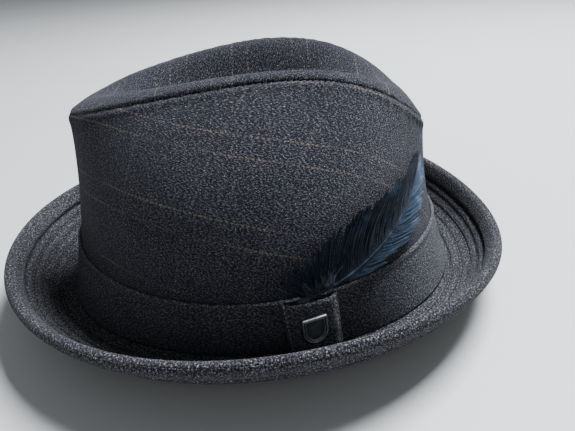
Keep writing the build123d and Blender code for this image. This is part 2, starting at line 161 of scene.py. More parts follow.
def grid_normals(grid, closed):
    """Unit normals of a grid of points; closed grids join up round their first direction."""
    ring = np.concatenate([grid[-1:], grid, grid[:1]]) if closed else grid
    round_way = np.gradient(ring, axis=0)
    if closed:
        round_way = round_way[1:-1]
    normals = np.cross(round_way, np.gradient(grid, axis=1))
    length = np.linalg.norm(normals, axis=-1, keepdims=True)
    return normals / np.maximum(length, 1e-12)


def path_length(grid, axis):
    """Running length along one direction of a grid of points."""
    hops = np.linalg.norm(np.diff(grid, axis=axis), axis=-1)
    start = np.zeros_like(np.take(hops, [0], axis=axis))
    return np.concatenate([start, np.cumsum(hops, axis=axis)], axis=axis)


def shell_faces(columns, rows, flat_map, closed):
    """The four-cornered faces of a shell, and each corner's place on the flat map of the cloth."""
    count = columns * rows
    around = np.arange(columns if closed else columns - 1)
    column, row = (part.ravel() for part in np.meshgrid(around, np.arange(rows - 1), indexing="ij"))
    corner_columns = np.stack([column, column + 1, column + 1, column], 1)
    corner_rows = np.stack([row, row, row + 1, row + 1], 1)
    spots = (corner_columns % columns) * rows + corner_rows
    faces = [spots, count + spots[:, ::-1]]
    flat = flat_map[corner_columns, corner_rows]
    maps = [flat, flat[:, ::-1]]
    for row, turned in ((0, False), (rows - 1, True)):
        line = np.stack([around, around, around + 1, around + 1], 1)
        side = np.array([0, count, count, 0])
        if turned:
            line, side = line[:, ::-1], side[::-1]
        faces.append((line % columns) * rows + row + side)
        maps.append(flat_map[line, np.full_like(line, row)])
    if not closed:
        for column, turned in ((0, True), (columns - 1, False)):
            low = np.arange(rows - 1)
            line = np.stack([low, low, low + 1, low + 1], 1)
            side = np.array([0, count, count, 0])
            if turned:
                line, side = line[:, ::-1], side[::-1]
            faces.append(column * rows + line + side)
            maps.append(flat_map[np.full_like(line, column), line])
    return np.concatenate(faces), np.concatenate(maps)


# %% Helpers that make a closed cloth piece
def object_from_mesh(name, mesh):
    """Puts a mesh in the scene as a smooth-shaded object."""
    mesh.shade_smooth()
    piece = bpy.data.objects.new(name, mesh)
    bpy.context.collection.objects.link(piece)
    return piece


def shell_piece(name, outer, inner, flat_map, closed=False, merge=False):
    """A closed piece from its outer and inner grids; its faces are turned outwards by its volume."""
    columns, rows = outer.shape[:2]
    faces, maps = shell_faces(columns, rows, flat_map, closed)
    points = np.concatenate([outer.reshape(-1, 3), inner.reshape(-1, 3)])
    first, second, third, fourth = points[faces].transpose(1, 0, 2)
    volume = np.sum(first * (np.cross(second, third) + np.cross(third, fourth)))
    if volume < 0:
        faces, maps = faces[:, ::-1], maps[:, ::-1]
    mesh = bpy.data.meshes.new(name)
    mesh.from_pydata(points.tolist(), [], faces.tolist())
    mesh.uv_layers.new(name="cloth").data.foreach_set("uv", maps.astype("f").ravel())
    if merge:
        work = bmesh.new()
        work.from_mesh(mesh)
        bmesh.ops.remove_doubles(work, verts=work.verts, dist=1e-6)
        work.to_mesh(mesh)
        work.free()
    print(name, len(mesh.polygons), "faces")
    return object_from_mesh(name, mesh)


def finish_piece(piece, body, material, slot, *nodes):
    """Gives a piece its material and its body, and hides the frame's nodes that it stands for; slot is not
    used.
    """
    piece.data.materials.clear()
    piece.data.materials.append(material)
    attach(piece, body)
    if nodes:
        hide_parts(*nodes)

# %% [markdown]
# A finish is a small network of shader nodes. Tweed is dark yarn with light and tan slubs, a
# few almost white hairs, and a thin dashed line of tan yarn now and then. Noise stretched on a
# slant makes the slubs, a wave makes the twill, and two crossed sets of thin lines make the
# overcheck. The slubs and the twill lift the surface as well, so that the light catches each
# fleck. A picture of the cloth would be quicker, but noise in metres keeps its true scale on
# every panel. The band and the brim show coarser flecks than the crown, so they have their own
# settings of the same finish; the band's also has a lighter ground, painted light that lifts the
# shade the brim casts on it. Along each stitched row of the brim, an attribute that goes with
# the mesh tells the finish to darken the cloth: painted shade in the row's channel. The band's
# folded top edge gets a painted highlight, and a paler line runs along its foot.

# %% Helpers for building node networks
def put(tree, kind, settings=(), inputs=()):
    """Adds a node, with its settings, and sets or links each of its inputs."""
    made = tree.nodes.new(kind)
    for name, value in dict(settings).items():
        setattr(made, name, value)
    for name, value in dict(inputs).items():
        if isinstance(value, bpy.types.NodeSocket):
            tree.links.new(value, made.inputs[name])
        else:
            made.inputs[name].default_value = value
    return made


def maths(tree, operation, first, second=0.0):
    """A Math node's result."""
    return put(tree, "ShaderNodeMath", {"operation": operation}, {0: first, 1: second}).outputs[0]


def blend_colours(tree, amount, low, high):
    """A mix of two colours."""
    made = put(tree, "ShaderNodeMix", {"data_type": "RGBA"}, {0: amount, 6: low, 7: high})
    return made.outputs[2]


def ramp(tree, value, low, high):
    """Rises smoothly from 0 to 1 as the value goes from low to high."""
    settings = {"interpolation_type": "SMOOTHSTEP"}
    return put(tree, "ShaderNodeMapRange", settings, {0: value, 1: low, 2: high}).outputs[0]


def grain(tree, place, stretch, angle=0.0, shift=(0.0, 0.0, 0.0), detail=2.0):
    """Noise with so many spots to the metre along each direction."""
    inputs = {"Vector": place, "Location": shift, "Rotation": (0.0, 0.0, angle), "Scale": stretch}
    turned = put(tree, "ShaderNodeMapping", {}, inputs).outputs[0]
    inputs = {"Vector": turned, "Scale": 1.0, "Detail": detail, "Roughness": 0.55}
    return put(tree, "ShaderNodeTexNoise", {}, inputs).outputs[0]


def new_finish(name, rough, **constants):
    """An empty finish: its node tree and its shader."""
    finish = bpy.data.materials.new(name)
    finish.use_nodes = True
    tree = finish.node_tree
    shader = tree.nodes["Principled BSDF"]
    shader.inputs["Roughness"].default_value = rough
    for socket, value in constants.items():
        shader.inputs[socket.replace("_", " ")].default_value = value
    return finish, tree, shader


def lift(tree, shader, height, depth, strength=0.6):
    """Bumps the surface by a height pattern, depth in metres."""
    inputs = {"Height": height, "Distance": depth, "Strength": strength}
    tree.links.new(put(tree, "ShaderNodeBump", {}, inputs).outputs[0], shader.inputs["Normal"])


def cloth_map(tree):
    """The flat map that follows a cloth piece."""
    return put(tree, "ShaderNodeUVMap", {"uv_map": "cloth"}).outputs[0]


def own_place(tree):
    """Places in the object's own space, in metres."""
    return put(tree, "ShaderNodeTexCoord").outputs["Object"]


# %% The overcheck in the tweed
check_pitch_across = 0.0245
check_pitch_along = 0.0330
check_start_across = 0.0195
check_start_along = 0.0625
check_pair = 0.0085
check_line = 0.0007
check_dash = 0.0008
check_colour = (0.34, 0.27, 0.20, 1.0)


def check_lines(tree, axis_value, pitch, places):
    """Thin lines across one direction of the cloth, at some places in each pitch."""
    lines = None
    for place in places:
        shifted = maths(tree, "SUBTRACT", axis_value, place)
        near = maths(tree, "PINGPONG", shifted, pitch / 2)
        line = maths(tree, "LESS_THAN", near, check_line / 2)
        lines = line if lines is None else maths(tree, "MAXIMUM", lines, line)
    return lines


def dashes(tree, axis_value):
    """Short gaps at even steps, where the line's yarn goes under the others."""
    near = maths(tree, "PINGPONG", axis_value, check_dash)
    return ramp(tree, near, 0.30 * check_dash, 0.45 * check_dash)


def overcheck(tree, place):
    """The whole check: single faint lines one way, pairs the other way, coming and going."""
    parts = put(tree, "ShaderNodeSeparateXYZ", {}, {0: place}).outputs
    across = check_lines(tree, parts[0], check_pitch_across, (check_start_across,))
    across = maths(tree, "MULTIPLY", maths(tree, "MULTIPLY", across, 0.4), dashes(tree, parts[1]))
    pair = (check_start_along, check_start_along + check_pair)
    along = check_lines(tree, parts[1], check_pitch_along, pair)
    along = maths(tree, "MULTIPLY", along, dashes(tree, parts[0]))
    fade = ramp(tree, grain(tree, place, (60.0, 60.0, 1.0), 0.0, (5.0, 5.0, 0.0)), 0.40, 0.60)
    fade = maths(tree, "ADD", 0.25, maths(tree, "MULTIPLY", fade, 0.75))
    return maths(tree, "MULTIPLY", maths(tree, "MAXIMUM", across, along), fade)


# %% The tweeds of the crown, the band, the tab and the brim
hair_colour = (0.36, 0.345, 0.335, 1.0)
# colour of the painted highlight on the band's fold, and of the paler line at its foot
highlight_and_foot_colour = (0.18, 0.17, 0.17, 1.0)
fuzz_tint = (0.75, 0.78, 0.85, 1.0)
fold_highlight_width = 0.0005


def fold_highlight_and_foot_line(tree, place, fold, dots):
    """A painted highlight along a strip's folded top edge, and a paler line along its foot."""
    up = put(tree, "ShaderNodeSeparateXYZ", {}, {0: place}).outputs[1]
    edges = maths(tree, "ADD", ramp(tree, up, fold, fold + fold_highlight_width), ramp(tree, up, 0.0009, 0.0003))
    return maths(tree, "MULTIPLY", edges, ramp(tree, dots, 0.46, 0.62))


def tweed_finish(name, ground, light, warm, cover, check, fleck=1.0, fold=0.0):
    """Tweed: a dark ground with light and tan flecks; fold is the height of a folded edge that gets a painted
    highlight, if any.
    """
    finish, tree, shader = new_finish(
        name, 0.92, Sheen_Weight=0.06, Sheen_Roughness=0.4, Sheen_Tint=fuzz_tint, Specular_IOR_Level=0.12
    )
    place = cloth_map(tree)
    slubs = grain(tree, place, (1250.0 / fleck, 1900.0 / fleck, 1.0), math.radians(48))
    dots = grain(tree, place, (2900.0, 2600.0, 1.0), math.radians(-20), (3.1, 1.7, 0.0))
    tan_spots = grain(tree, place, (1100.0, 1500.0, 1.0), math.radians(40), (7.7, 5.3, 0.0))
    hairs = grain(tree, place, (1700.0 / fleck, 1500.0 / fleck, 1.0), 0.5, (4.4, 8.8, 0.0))
    drift = grain(tree, place, (45.0, 60.0, 1.0), 0.3, (2.0, 9.0, 0.0), 3.0)
    clumps = grain(tree, place, (330.0, 420.0, 1.0), 0.8, (6.0, 1.0, 0.0), 1.0)
    turned = {"Vector": place, "Rotation": (0.0, 0.0, math.radians(-42))}
    slanted = put(tree, "ShaderNodeMapping", {}, turned).outputs[0]
    wave = {"Vector": slanted, "Scale": 300.0, "Distortion": 2.0, "Detail": 1.0, "Detail Scale": 400.0}
    twill = put(tree, "ShaderNodeTexWave", {}, wave).outputs[1]

    threshold = maths(tree, "ADD", 0.55 + 0.12 * (0.5 - cover), maths(tree, "MULTIPLY", drift, -0.05))
    threshold = maths(tree, "SUBTRACT", threshold, maths(tree, "MULTIPLY", clumps, 0.08))
    nap = maths(tree, "ADD", slubs, maths(tree, "MULTIPLY", dots, 0.55))
    nap = maths(tree, "SUBTRACT", nap, 0.275)
    flecks = ramp(tree, nap, threshold, maths(tree, "ADD", threshold, 0.12))
    flecks = maths(tree, "MULTIPLY", flecks, maths(tree, "ADD", 0.65, maths(tree, "MULTIPLY", twill, 0.35)))
    yarn = blend_colours(tree, flecks, ground, light)
    tan = ramp(tree, tan_spots, 0.60, 0.70)
    yarn = blend_colours(tree, maths(tree, "MULTIPLY", tan, 0.7), yarn, warm)
    hairs = ramp(tree, hairs, 0.59 if fleck > 1 else 0.62, 0.69)
    yarn = blend_colours(tree, maths(tree, "MULTIPLY", hairs, 0.5 * fleck), yarn, hair_colour)
    height = maths(tree, "ADD", maths(tree, "MULTIPLY", nap, 1.5), maths(tree, "MULTIPLY", twill, 0.12))
    if check:
        lines = overcheck(tree, place)
        yarn = blend_colours(tree, maths(tree, "MULTIPLY", lines, check), yarn, check_colour)
        height = maths(tree, "ADD", height, maths(tree, "MULTIPLY", lines, 0.4))
    if fold:
        # painted highlight along the strip's folded top edge, and a paler line along its foot
        fold_and_foot_lines = fold_highlight_and_foot_line(tree, place, fold, dots)
        yarn = blend_colours(tree, maths(tree, "MULTIPLY", fold_and_foot_lines, 0.2), yarn, highlight_and_foot_colour)
    shade = maths(tree, "ADD", 0.75, maths(tree, "MULTIPLY", drift, 0.5))
    # painted shade: darkens the brim's cloth along each stitched row, where the channel holds shadow
    painted_channel_shade = put(tree, "ShaderNodeAttribute", {"attribute_name": "painted_channel_shade"}).outputs["Fac"]
    lit = maths(tree, "SUBTRACT", 1.0, maths(tree, "MULTIPLY", painted_channel_shade, 0.82))
    yarn = blend_colours(tree, maths(tree, "MULTIPLY", shade, lit), (0.0, 0.0, 0.0, 1.0), yarn)
    tree.links.new(yarn, shader.inputs["Base Color"])
    lift(tree, shader, height, 0.0006, 0.9)
    return finish


crown_tweed = tweed_finish("salt_and_pepper_tweed", (0.0078, 0.0086, 0.0158, 1.0), (0.088, 0.089, 0.103, 1.0),
                           (0.150, 0.108, 0.080, 1.0), cover=0.36, check=0.27)
# The band and the tab share a lighter ground than the crown: painted light that lifts the shade the brim
# casts on the band.
band_colours_with_painted_lift = ((0.0185, 0.0205, 0.0280, 1.0), (0.150, 0.154, 0.175, 1.0), (0.180, 0.142, 0.112, 1.0))
band_fold = band_height - 0.0006
band_tweed = tweed_finish("band_tweed", *band_colours_with_painted_lift, cover=0.40, check=0.0, fleck=1.4, fold=band_fold)
tab_tweed = tweed_finish("tab_tweed", *band_colours_with_painted_lift, cover=0.40, check=0.0, fleck=1.4)
brim_tweed = tweed_finish("brim_tweed", (0.0078, 0.0084, 0.0138, 1.0), (0.110, 0.110, 0.120, 1.0),
                          (0.175, 0.130, 0.095, 1.0), cover=0.36, check=0.08, fleck=1.5)
print("tweeds", [finish.name for finish in (crown_tweed, band_tweed, tab_tweed, brim_tweed)])

# %% [markdown]
# The other finishes are quieter. Satin and canvas are fine weaves, leather is pebbled with
# darker hollows, and thread is twisted. The shield's metal is rubbed bright on its rims and
# dark in the grooves between them, which an attribute on its mesh marks out. The feather's
# barbs shift a little in blue from one to the next.

# %% Satin, canvas, tape, leather, label and thread
def woven_finish(name, low, high, threads, rough, depth, coordinates, **constants):
    """A plain weave: threads to the metre each way, between two close colours."""
    finish, tree, shader = new_finish(name, rough, **constants)
    place = coordinates(tree)
    inputs = {"Vector": place, "Scale": threads / 6.28, "Distortion": 0.8, "Detail": 1.0}
    over = put(tree, "ShaderNodeTexWave", {"bands_direction": "X"}, inputs).outputs[1]
    under = put(tree, "ShaderNodeTexWave", {"bands_direction": "Y"}, inputs).outputs[1]
    drift = grain(tree, place, (90.0, 140.0, 90.0), 0.2, (1.0, 2.0, 3.0), 3.0)
    weave = maths(tree, "MULTIPLY", over, under)
    mixed = maths(tree, "ADD", maths(tree, "MULTIPLY", weave, 0.4), maths(tree, "MULTIPLY", drift, 0.6))
    tree.links.new(blend_colours(tree, mixed, low, high), shader.inputs["Base Color"])
    lift(tree, shader, maths(tree, "ADD", weave, drift), depth)
    return finish


def pebbled_leather():
    """Sweatband leather: small pebbles, darker in the hollows."""
    finish, tree, shader = new_finish("sweatband_leather", 0.48, Specular_IOR_Level=0.4)
    place = cloth_map(tree)
    inputs = {"Vector": place, "Scale": 900.0, "Smoothness": 0.6}
    pebbles = put(tree, "ShaderNodeTexVoronoi", {"feature": "SMOOTH_F1"}, inputs).outputs[0]
    drift = grain(tree, place, (70.0, 120.0, 1.0), 0.5, (4.0, 1.0, 0.0), 4.0)
    pores = ramp(tree, grain(tree, place, (2400.0, 2400.0, 1.0)), 0.62, 0.72)
    tone = maths(tree, "ADD", maths(tree, "MULTIPLY", drift, 0.7), maths(tree, "MULTIPLY", pebbles, -0.35))
    colour = blend_colours(tree, tone, (0.020, 0.011, 0.007, 1.0), (0.115, 0.062, 0.036, 1.0))
    tree.links.new(colour, shader.inputs["Base Color"])
    height = maths(tree, "ADD", maths(tree, "MULTIPLY", pebbles, -1.0), maths(tree, "MULTIPLY", pores, -0.4))
    lift(tree, shader, height, 0.0003)
    return finish


satin = woven_finish("lining_satin", (0.010, 0.012, 0.020, 1.0), (0.030, 0.034, 0.052, 1.0), 5200.0,
                     0.32, 0.00008, cloth_map, Sheen_Weight=0.2)
canvas = woven_finish("fusible_canvas", (0.42, 0.39, 0.33, 1.0), (0.60, 0.57, 0.50, 1.0), 1500.0,
                      0.9, 0.0003, own_place)
tape = woven_finish("headline_tape", (0.012, 0.012, 0.015, 1.0), (0.035, 0.035, 0.042, 1.0), 2200.0,
                    0.75, 0.0002, cloth_map)
label_cloth = woven_finish("label_cloth", (0.030, 0.030, 0.036, 1.0), (0.075, 0.074, 0.082, 1.0), 3600.0,
                           0.45, 0.0001, cloth_map, Sheen_Weight=0.15)
leather = pebbled_leather()


def thread_finish(name, low, high):
    """Sewing thread: a tight twist between two close colours."""
    finish, tree, shader = new_finish(name, 0.55, Sheen_Weight=0.3)
    place = own_place(tree)
    inputs = {"Vector": place, "Scale": 900.0, "Distortion": 1.0}
    twist = put(tree, "ShaderNodeTexWave", {"bands_direction": "DIAGONAL"}, inputs).outputs[1]
    fluff = grain(tree, place, (1800.0, 1800.0, 1800.0))
    tone = maths(tree, "ADD", maths(tree, "MULTIPLY", twist, 0.5), maths(tree, "MULTIPLY", fluff, 0.5))
    tree.links.new(blend_colours(tree, tone, low, high), shader.inputs["Base Color"])
    lift(tree, shader, tone, 0.0001)
    return finish


dark_thread = thread_finish("navy_thread", (0.006, 0.0065, 0.011, 1.0), (0.022, 0.024, 0.034, 1.0))
light_thread = thread_finish("grey_thread", (0.14, 0.14, 0.16, 1.0), (0.42, 0.42, 0.46, 1.0))
wrap_thread = thread_finish("wrap_thread", (0.010, 0.010, 0.014, 1.0), (0.035, 0.036, 0.045, 1.0))


# %% Gunmetal, quill and barbs
def metal_finish():
    """Worn grey metal: fine grain, dark grooves and brighter rubbed spots."""
    finish, tree, shader = new_finish("gunmetal", 0.38, Metallic=1.0)
    place = own_place(tree)
    grit = grain(tree, place, (2600.0, 2600.0, 2600.0), 0.0, (0.0, 0.0, 0.0), 4.0)
    wear = grain(tree, place, (420.0, 420.0, 420.0), 0.4, (3.0, 2.0, 1.0), 4.0)
    dark = put(tree, "ShaderNodeAttribute", {"attribute_name": "patina"}).outputs["Fac"]
    rubbed = ramp(tree, wear, 0.35, 0.7)
    colour = blend_colours(tree, rubbed, (0.24, 0.28, 0.28, 1.0), (0.46, 0.51, 0.50, 1.0))
    colour = blend_colours(tree, maths(tree, "MULTIPLY", dark, 0.85), colour, (0.045, 0.052, 0.055, 1.0))
    tree.links.new(colour, shader.inputs["Base Color"])
    rough = maths(tree, "ADD", 0.28, maths(tree, "MULTIPLY", grit, 0.25))
    tree.links.new(rough, shader.inputs["Roughness"])
    lift(tree, shader, maths(tree, "ADD", grit, wear), 0.00012)
    return finish


def barb_finish(name, low, high, tip, sheen, paler_to_tip):
    """Feather barbs: a colour that drifts between them and may turn paler to the feather's tip."""
    finish, tree, shader = new_finish(
        name, 0.58, Sheen_Weight=sheen, Sheen_Roughness=0.3, Specular_IOR_Level=0.18
    )
    place = own_place(tree)
    strand = grain(tree, place, (1100.0, 1100.0, 1100.0), 0.0, (0.0, 0.0, 0.0), 3.0)
    patch = grain(tree, place, (130.0, 130.0, 130.0), 0.0, (2.0, 5.0, 1.0), 2.0)
    colour = blend_colours(tree, ramp(tree, strand, 0.35, 0.70), low, high)
    amount = ramp(tree, patch, 0.52, 0.75)
    if paler_to_tip:
        along = put(tree, "ShaderNodeSeparateXYZ", {}, {0: place}).outputs["Y"]
        reach = maths(tree, "ADD", ramp(tree, along, 0.062, 0.100), maths(tree, "MULTIPLY", strand, 0.3))
        amount = maths(tree, "MULTIPLY", maths(tree, "ADD", amount, 0.45), reach)
    colour = blend_colours(tree, amount, colour, tip)
    tree.links.new(colour, shader.inputs["Base Color"])
    lift(tree, shader, strand, 0.0001)
    return finish


gunmetal = metal_finish()
quill_finish = barb_finish("quill_shaft", (0.006, 0.009, 0.015, 1.0), (0.02, 0.03, 0.05, 1.0),
                           (0.06, 0.09, 0.13, 1.0), 0.05, 0.0)
dark_vane = barb_finish("dark_blue_barbs", (0.0025, 0.0045, 0.009, 1.0), (0.006, 0.013, 0.026, 1.0),
                        (0.014, 0.030, 0.055, 1.0), 0.03, 0.0)
blue_vane = barb_finish("steel_blue_barbs", (0.005, 0.011, 0.022, 1.0), (0.018, 0.038, 0.070, 1.0),
                        (0.13, 0.21, 0.33, 1.0), 0.06, 1.0)
pale_down = barb_finish("pale_down", (0.006, 0.011, 0.020, 1.0), (0.045, 0.065, 0.095, 1.0),
                        (0.16, 0.20, 0.26, 1.0), 0.1, 0.0)
print(len(bpy.data.materials), "finishes")

# %% [markdown]
# The crown's sides are two panels cut on a gentle arc and joined at the front and the back.
# At the top the cloth turns over a small lip before it dives into the seam, and it puckers
# there, because a longer edge is eased into a shorter one. A sculpted mesh could show that,
# but formulas for the distance from each seam keep it even all the way round. The check in the
# cloth runs straight in the flat panel, so on the hat it sinks away round the curve. The flat
# map below unrolls the panel about one centre, which is what brings that out.

# %% The two crown side panels
lip_rise = 0.00042
lip_width = 0.0017
lip_from_seam = 0.0024
seam_dive = 0.00075
side_dive_width = 0.0008
top_dive_width = 0.0005
pucker_depth = 0.00022
centre_seam_dip = 0.0007
centre_seam_width = 0.0014
centre_seam_welt = 0.0003
slack_depth = 0.0006
panel_arc_radius = 0.245
panel_arc_start = 0.075


def slack(turn, height):
    """Slow unevenness of cloth that no block has ironed quite smooth, -1 to 1."""
    waves = np.sin(3.1 * turn + 38 * height + 0.6) + np.sin(7.3 * turn - 61 * height + 2.1)
    return (waves + np.sin(12.7 * turn + 27 * height + 4.0) * 0.6) / 2.6


def crown_side(name, side):
    """One side panel: side is 1 for the wearer's left and -1 for the right."""
    turns = steps(-math.pi / 2, math.pi / 2, 221)
    shares = np.concatenate([steps(0.0, 0.9, 56)[:-1], steps(0.9, 1.0, 26)])
    grid = crown_wall(turns[:, None], shares[None, :])
    normals = grid_normals(grid, False)
    up = path_length(grid, 1)
    from_seam = up[:, -1:] - up
    round_way = path_length(grid[:, :1], 0)
    to_centre = np.minimum(round_way, round_way[-1:] - round_way)
    pucker = np.sin(round_way / 0.0013 + 2 * np.sin(round_way / 0.0061)) * hill(from_seam - 0.004, 0.005)
    push = lip_rise * hill(from_seam - lip_from_seam, lip_width)
    push = push - seam_dive * np.exp(-from_seam / side_dive_width)
    push = push + pucker_depth * pucker - centre_seam_dip * hill(to_centre, centre_seam_width)
    push = push + centre_seam_welt * hill(to_centre - 0.0032, 0.0018)
    calm = np.clip((up - band_height) / 0.03, 0, 1) * np.clip(from_seam / 0.012, 0, 1)
    push = push + slack_depth * calm * slack(turns[:, None], up)
    outer = grid + normals * push[..., None]
    inner = grid - normals * (cloth - np.minimum(push, 0.0))[..., None]
    swing = (round_way - panel_arc_start) / panel_arc_radius
    flat = np.stack([(panel_arc_radius - up) * np.sin(swing),
                     panel_arc_radius - (panel_arc_radius - up) * np.cos(swing)], -1)
    for points in (outer, inner):
        points[..., 0] *= side
    return shell_piece(name, outer, inner, flat)


crown_left = crown_side("crown_side_left_cloth", 1)
crown_right = crown_side("crown_side_right_cloth", -1)
finish_piece(crown_left, "hat", crown_tweed, "tweed", "crown_side_left")
finish_piece(crown_right, "hat", crown_tweed, "tweed", "crown_side_right")

# %% [markdown]
# The top panel is an oval that rises to a soft ridge just inside its seam and then sinks into
# one long dent, deepest at its middle. A flat grid pushed down would have stepped edges, so it
# is a round grid of points about its centre. That puts even rows along the seam, and the
# centre is closed to a single point. The lining's top and its label are made by the same helper.

# %% The dented top panel
tip_turns = steps(0, 2 * math.pi, 241)[:-1]
tip_rings = np.concatenate([[0.0], steps(0.03, 0.86, 52), steps(0.87, 0.999, 30)])
top_lip_rise = 0.00025
top_slack_depth = 0.0007
top_check_shift = (0.012, 0.004)


def dented_top(name, under, thickness, edge, rings, sewn):
    """A round panel under the top's outer face; sewn is 1 where its edge goes into the seam, or 0."""
    grid = top_panel(tip_turns[:, None], rings[None, :] * edge, under)
    normals = grid_normals(grid, True)
    normals[:, 0] = (0.0, 0.0, 1.0)
    normals *= np.sign(normals[..., 2:3])
    to_seam = path_length(grid, 1)
    to_seam = to_seam[:, -1:] - to_seam
    angle = tip_turns[:, None]
    around = path_length(np.concatenate([grid[:, -1:], grid[:1, -1:]]), 0)[:-1]
    pucker = np.sin(around / 0.0012 + 1.7 * np.sin(around / 0.0053)) * hill(to_seam - 0.003, 0.0045)
    push = sewn * (pucker_depth * pucker - seam_dive * np.exp(-to_seam / top_dive_width))
    push = push + sewn * top_lip_rise * hill(to_seam - lip_from_seam, 0.0016)
    calm = np.clip(to_seam / 0.02, 0, 1) * rings**2
    push = push + top_slack_depth * calm * slack(angle, rings[None, :] * 0.09)
    outer = grid + normals * push[..., None]
    inner = grid + normals * (np.minimum(push, 0.0) - thickness)[..., None]
    flat = grid[..., :2] + top_check_shift
    flat = np.concatenate([flat, flat[:1]])
    return shell_piece(name, outer, inner, flat, closed=True, merge=True)


crown_top = dented_top("crown_top_cloth", 0.0, cloth, 0.998, tip_rings, 1.0)
finish_piece(crown_top, "hat", crown_tweed, "tweed", "crown_tip")

# %% [markdown]
# The brim is two layers of cloth over a stiffener, held together by rows of stitching that run
# all the way round. Each row pulls the cloth down into a narrow channel, the cloth between
# rows stands up softly, and the turned edge is a fat roll behind the deepest channel. The
# curl could be bent with a Curve modifier, but one formula for its section, worked out at each
# degree, follows the hat's oval and lets the stitches find their place on it.

# %% The brim's curl
brim_reach = 0.0268
brim_reach_front = 0.0013
brim_reach_sides = 0.0021
rim_height = 0.02985
rim_tilt = -0.0012
rim_lift_sides = 0.00363
rim_snap = 0.00187
brim_slopes = (math.radians(4.0), math.radians(66.0))
brim_ledge = 0.0018
brim_curl_pull = 0.4


def outward_way(turn):
    """The way straight out from the crown's oval, in plan."""
    way = np.stack([np.cos(turn) / crown_half_width, np.sin(turn) / crown_half_length], -1)
    return way / np.linalg.norm(way, axis=-1, keepdims=True)


def curl(start, start_pull, end_pull, end, share):
    """A point of the Bezier curve that the brim's section follows, and its direction there."""
    rest = 1 - share
    spot = start * rest**3 + 3 * start_pull * share * rest**2
    spot = spot + 3 * end_pull * share**2 * rest + end * share**3
    way = (start_pull - start) * rest**2 + 2 * (end_pull - start_pull) * share * rest
    way = way + (end - end_pull) * share**2
    return spot, way / np.linalg.norm(way, axis=-1, keepdims=True)


def brim_point(turn, share, above):
    """A point at a share of the brim's width, so far above its middle line."""
    turn, share, above = np.broadcast_arrays(turn, share, above)
    middle = break_height(turn) - brim_thickness / 2
    reach = brim_reach - brim_reach_front * np.sin(turn) + brim_reach_sides * np.cos(2 * turn)
    rise = rim_tilt * np.sin(turn) + rim_lift_sides * np.cos(2 * turn) + rim_snap * np.sin(3 * turn)
    start = np.stack([np.full_like(reach, brim_ledge), middle], -1)
    end = np.stack([reach, rim_height + rise], -1)
    pull = brim_curl_pull * np.linalg.norm(end - start, axis=-1, keepdims=True)
    first, last = (np.array([math.cos(slope), math.sin(slope)]) for slope in brim_slopes)
    spot, way = curl(start, start + first * pull, end - last * pull, end, share[..., None])
    spot = spot + np.stack([-way[..., 1], way[..., 0]], -1) * above[..., None]
    plan = crown_foot(turn) + outward_way(turn) * spot[..., :1]
    return np.concatenate([plan, spot[..., 1:]], -1)


brim_turns = steps(0, 2 * math.pi, 361)[:-1]
fine_shares = steps(0.0, 1.0, 61)
brim_lines = path_length(brim_point(brim_turns[:, None], fine_shares[None, :], 0.0), 1)
brim_widths = brim_lines[:, -1]
print("brim width", round(float(brim_widths.min()), 4), "to", round(float(brim_widths.max()), 4))


def share_from_edge(column, distance):
    """The share of the brim's width that lies a distance in from its edge."""
    return np.interp(brim_widths[column] - distance, brim_lines[column], fine_shares)


# %% The brim's channels
edge_channel = 0.0088
edge_channel_depth = 0.0012
edge_channel_width = 0.0012
stitch_rows = (0.0140, 0.0196, 0.0252, 0.0308)
row_depth = 0.0006
row_width = 0.0007
row_wander = 0.00025
puff_height = 0.00030
puff_width = 0.0020
ripple_height = 0.00011
roll_fullness = 0.00095
roll_middle = 0.0036
roll_half_width = 0.0056


def channel_push(from_edge, around, phase):
    """How far the cloth stands off its middle face, in or out, at a distance from the edge."""
    roll = roll_fullness * np.sqrt(np.clip(1 - ((from_edge - roll_middle) / roll_half_width) ** 2, 0, 1))
    push = roll - edge_channel_depth * hill(from_edge - edge_channel, edge_channel_width)
    for number, row in enumerate(stitch_rows):
        wander = row_wander * np.sin(around / 0.021 + number * 1.9 + phase)
        push = push - row_depth * hill(from_edge - row - wander, row_width)
        push = push + puff_height * hill(from_edge - row + 0.0028, puff_width)
    ripple = np.sin(around / 0.0021 + 2.2 * np.sin(around / 0.0097 + phase))
    near_rows = sum(hill(from_edge - row, 0.0024) for row in (edge_channel,) + stitch_rows)
    return push + ripple_height * ripple * near_rows


# %% The brim's two layers, with the rolled edge
brim_tuck = 0.0030
brim_last_line = 0.0012
coarse_lines_from = 0.0135
roll_out = 0.0006
roll_overlap = 0.35
channel_shade_width = 0.0008


def rolled_edge(turn, edge_share, radius, face):
    """The cloth's way round the edge: the top cloth goes past its middle, the under cloth stops short."""
    arc = steps(0, math.pi / 2 + face * roll_overlap, 12)[1:]
    above = face * radius * np.cos(arc)[None, :]
    out = radius * np.sin(arc)[None, :] + roll_out * (np.sin(arc) ** 2)[None, :]
    ahead = brim_point(turn, edge_share, 0.0) - brim_point(turn, edge_share - 0.02, 0.0)
    ahead = ahead / np.linalg.norm(ahead, axis=-1, keepdims=True)
    return brim_point(turn, edge_share, above) + ahead * out[..., None]


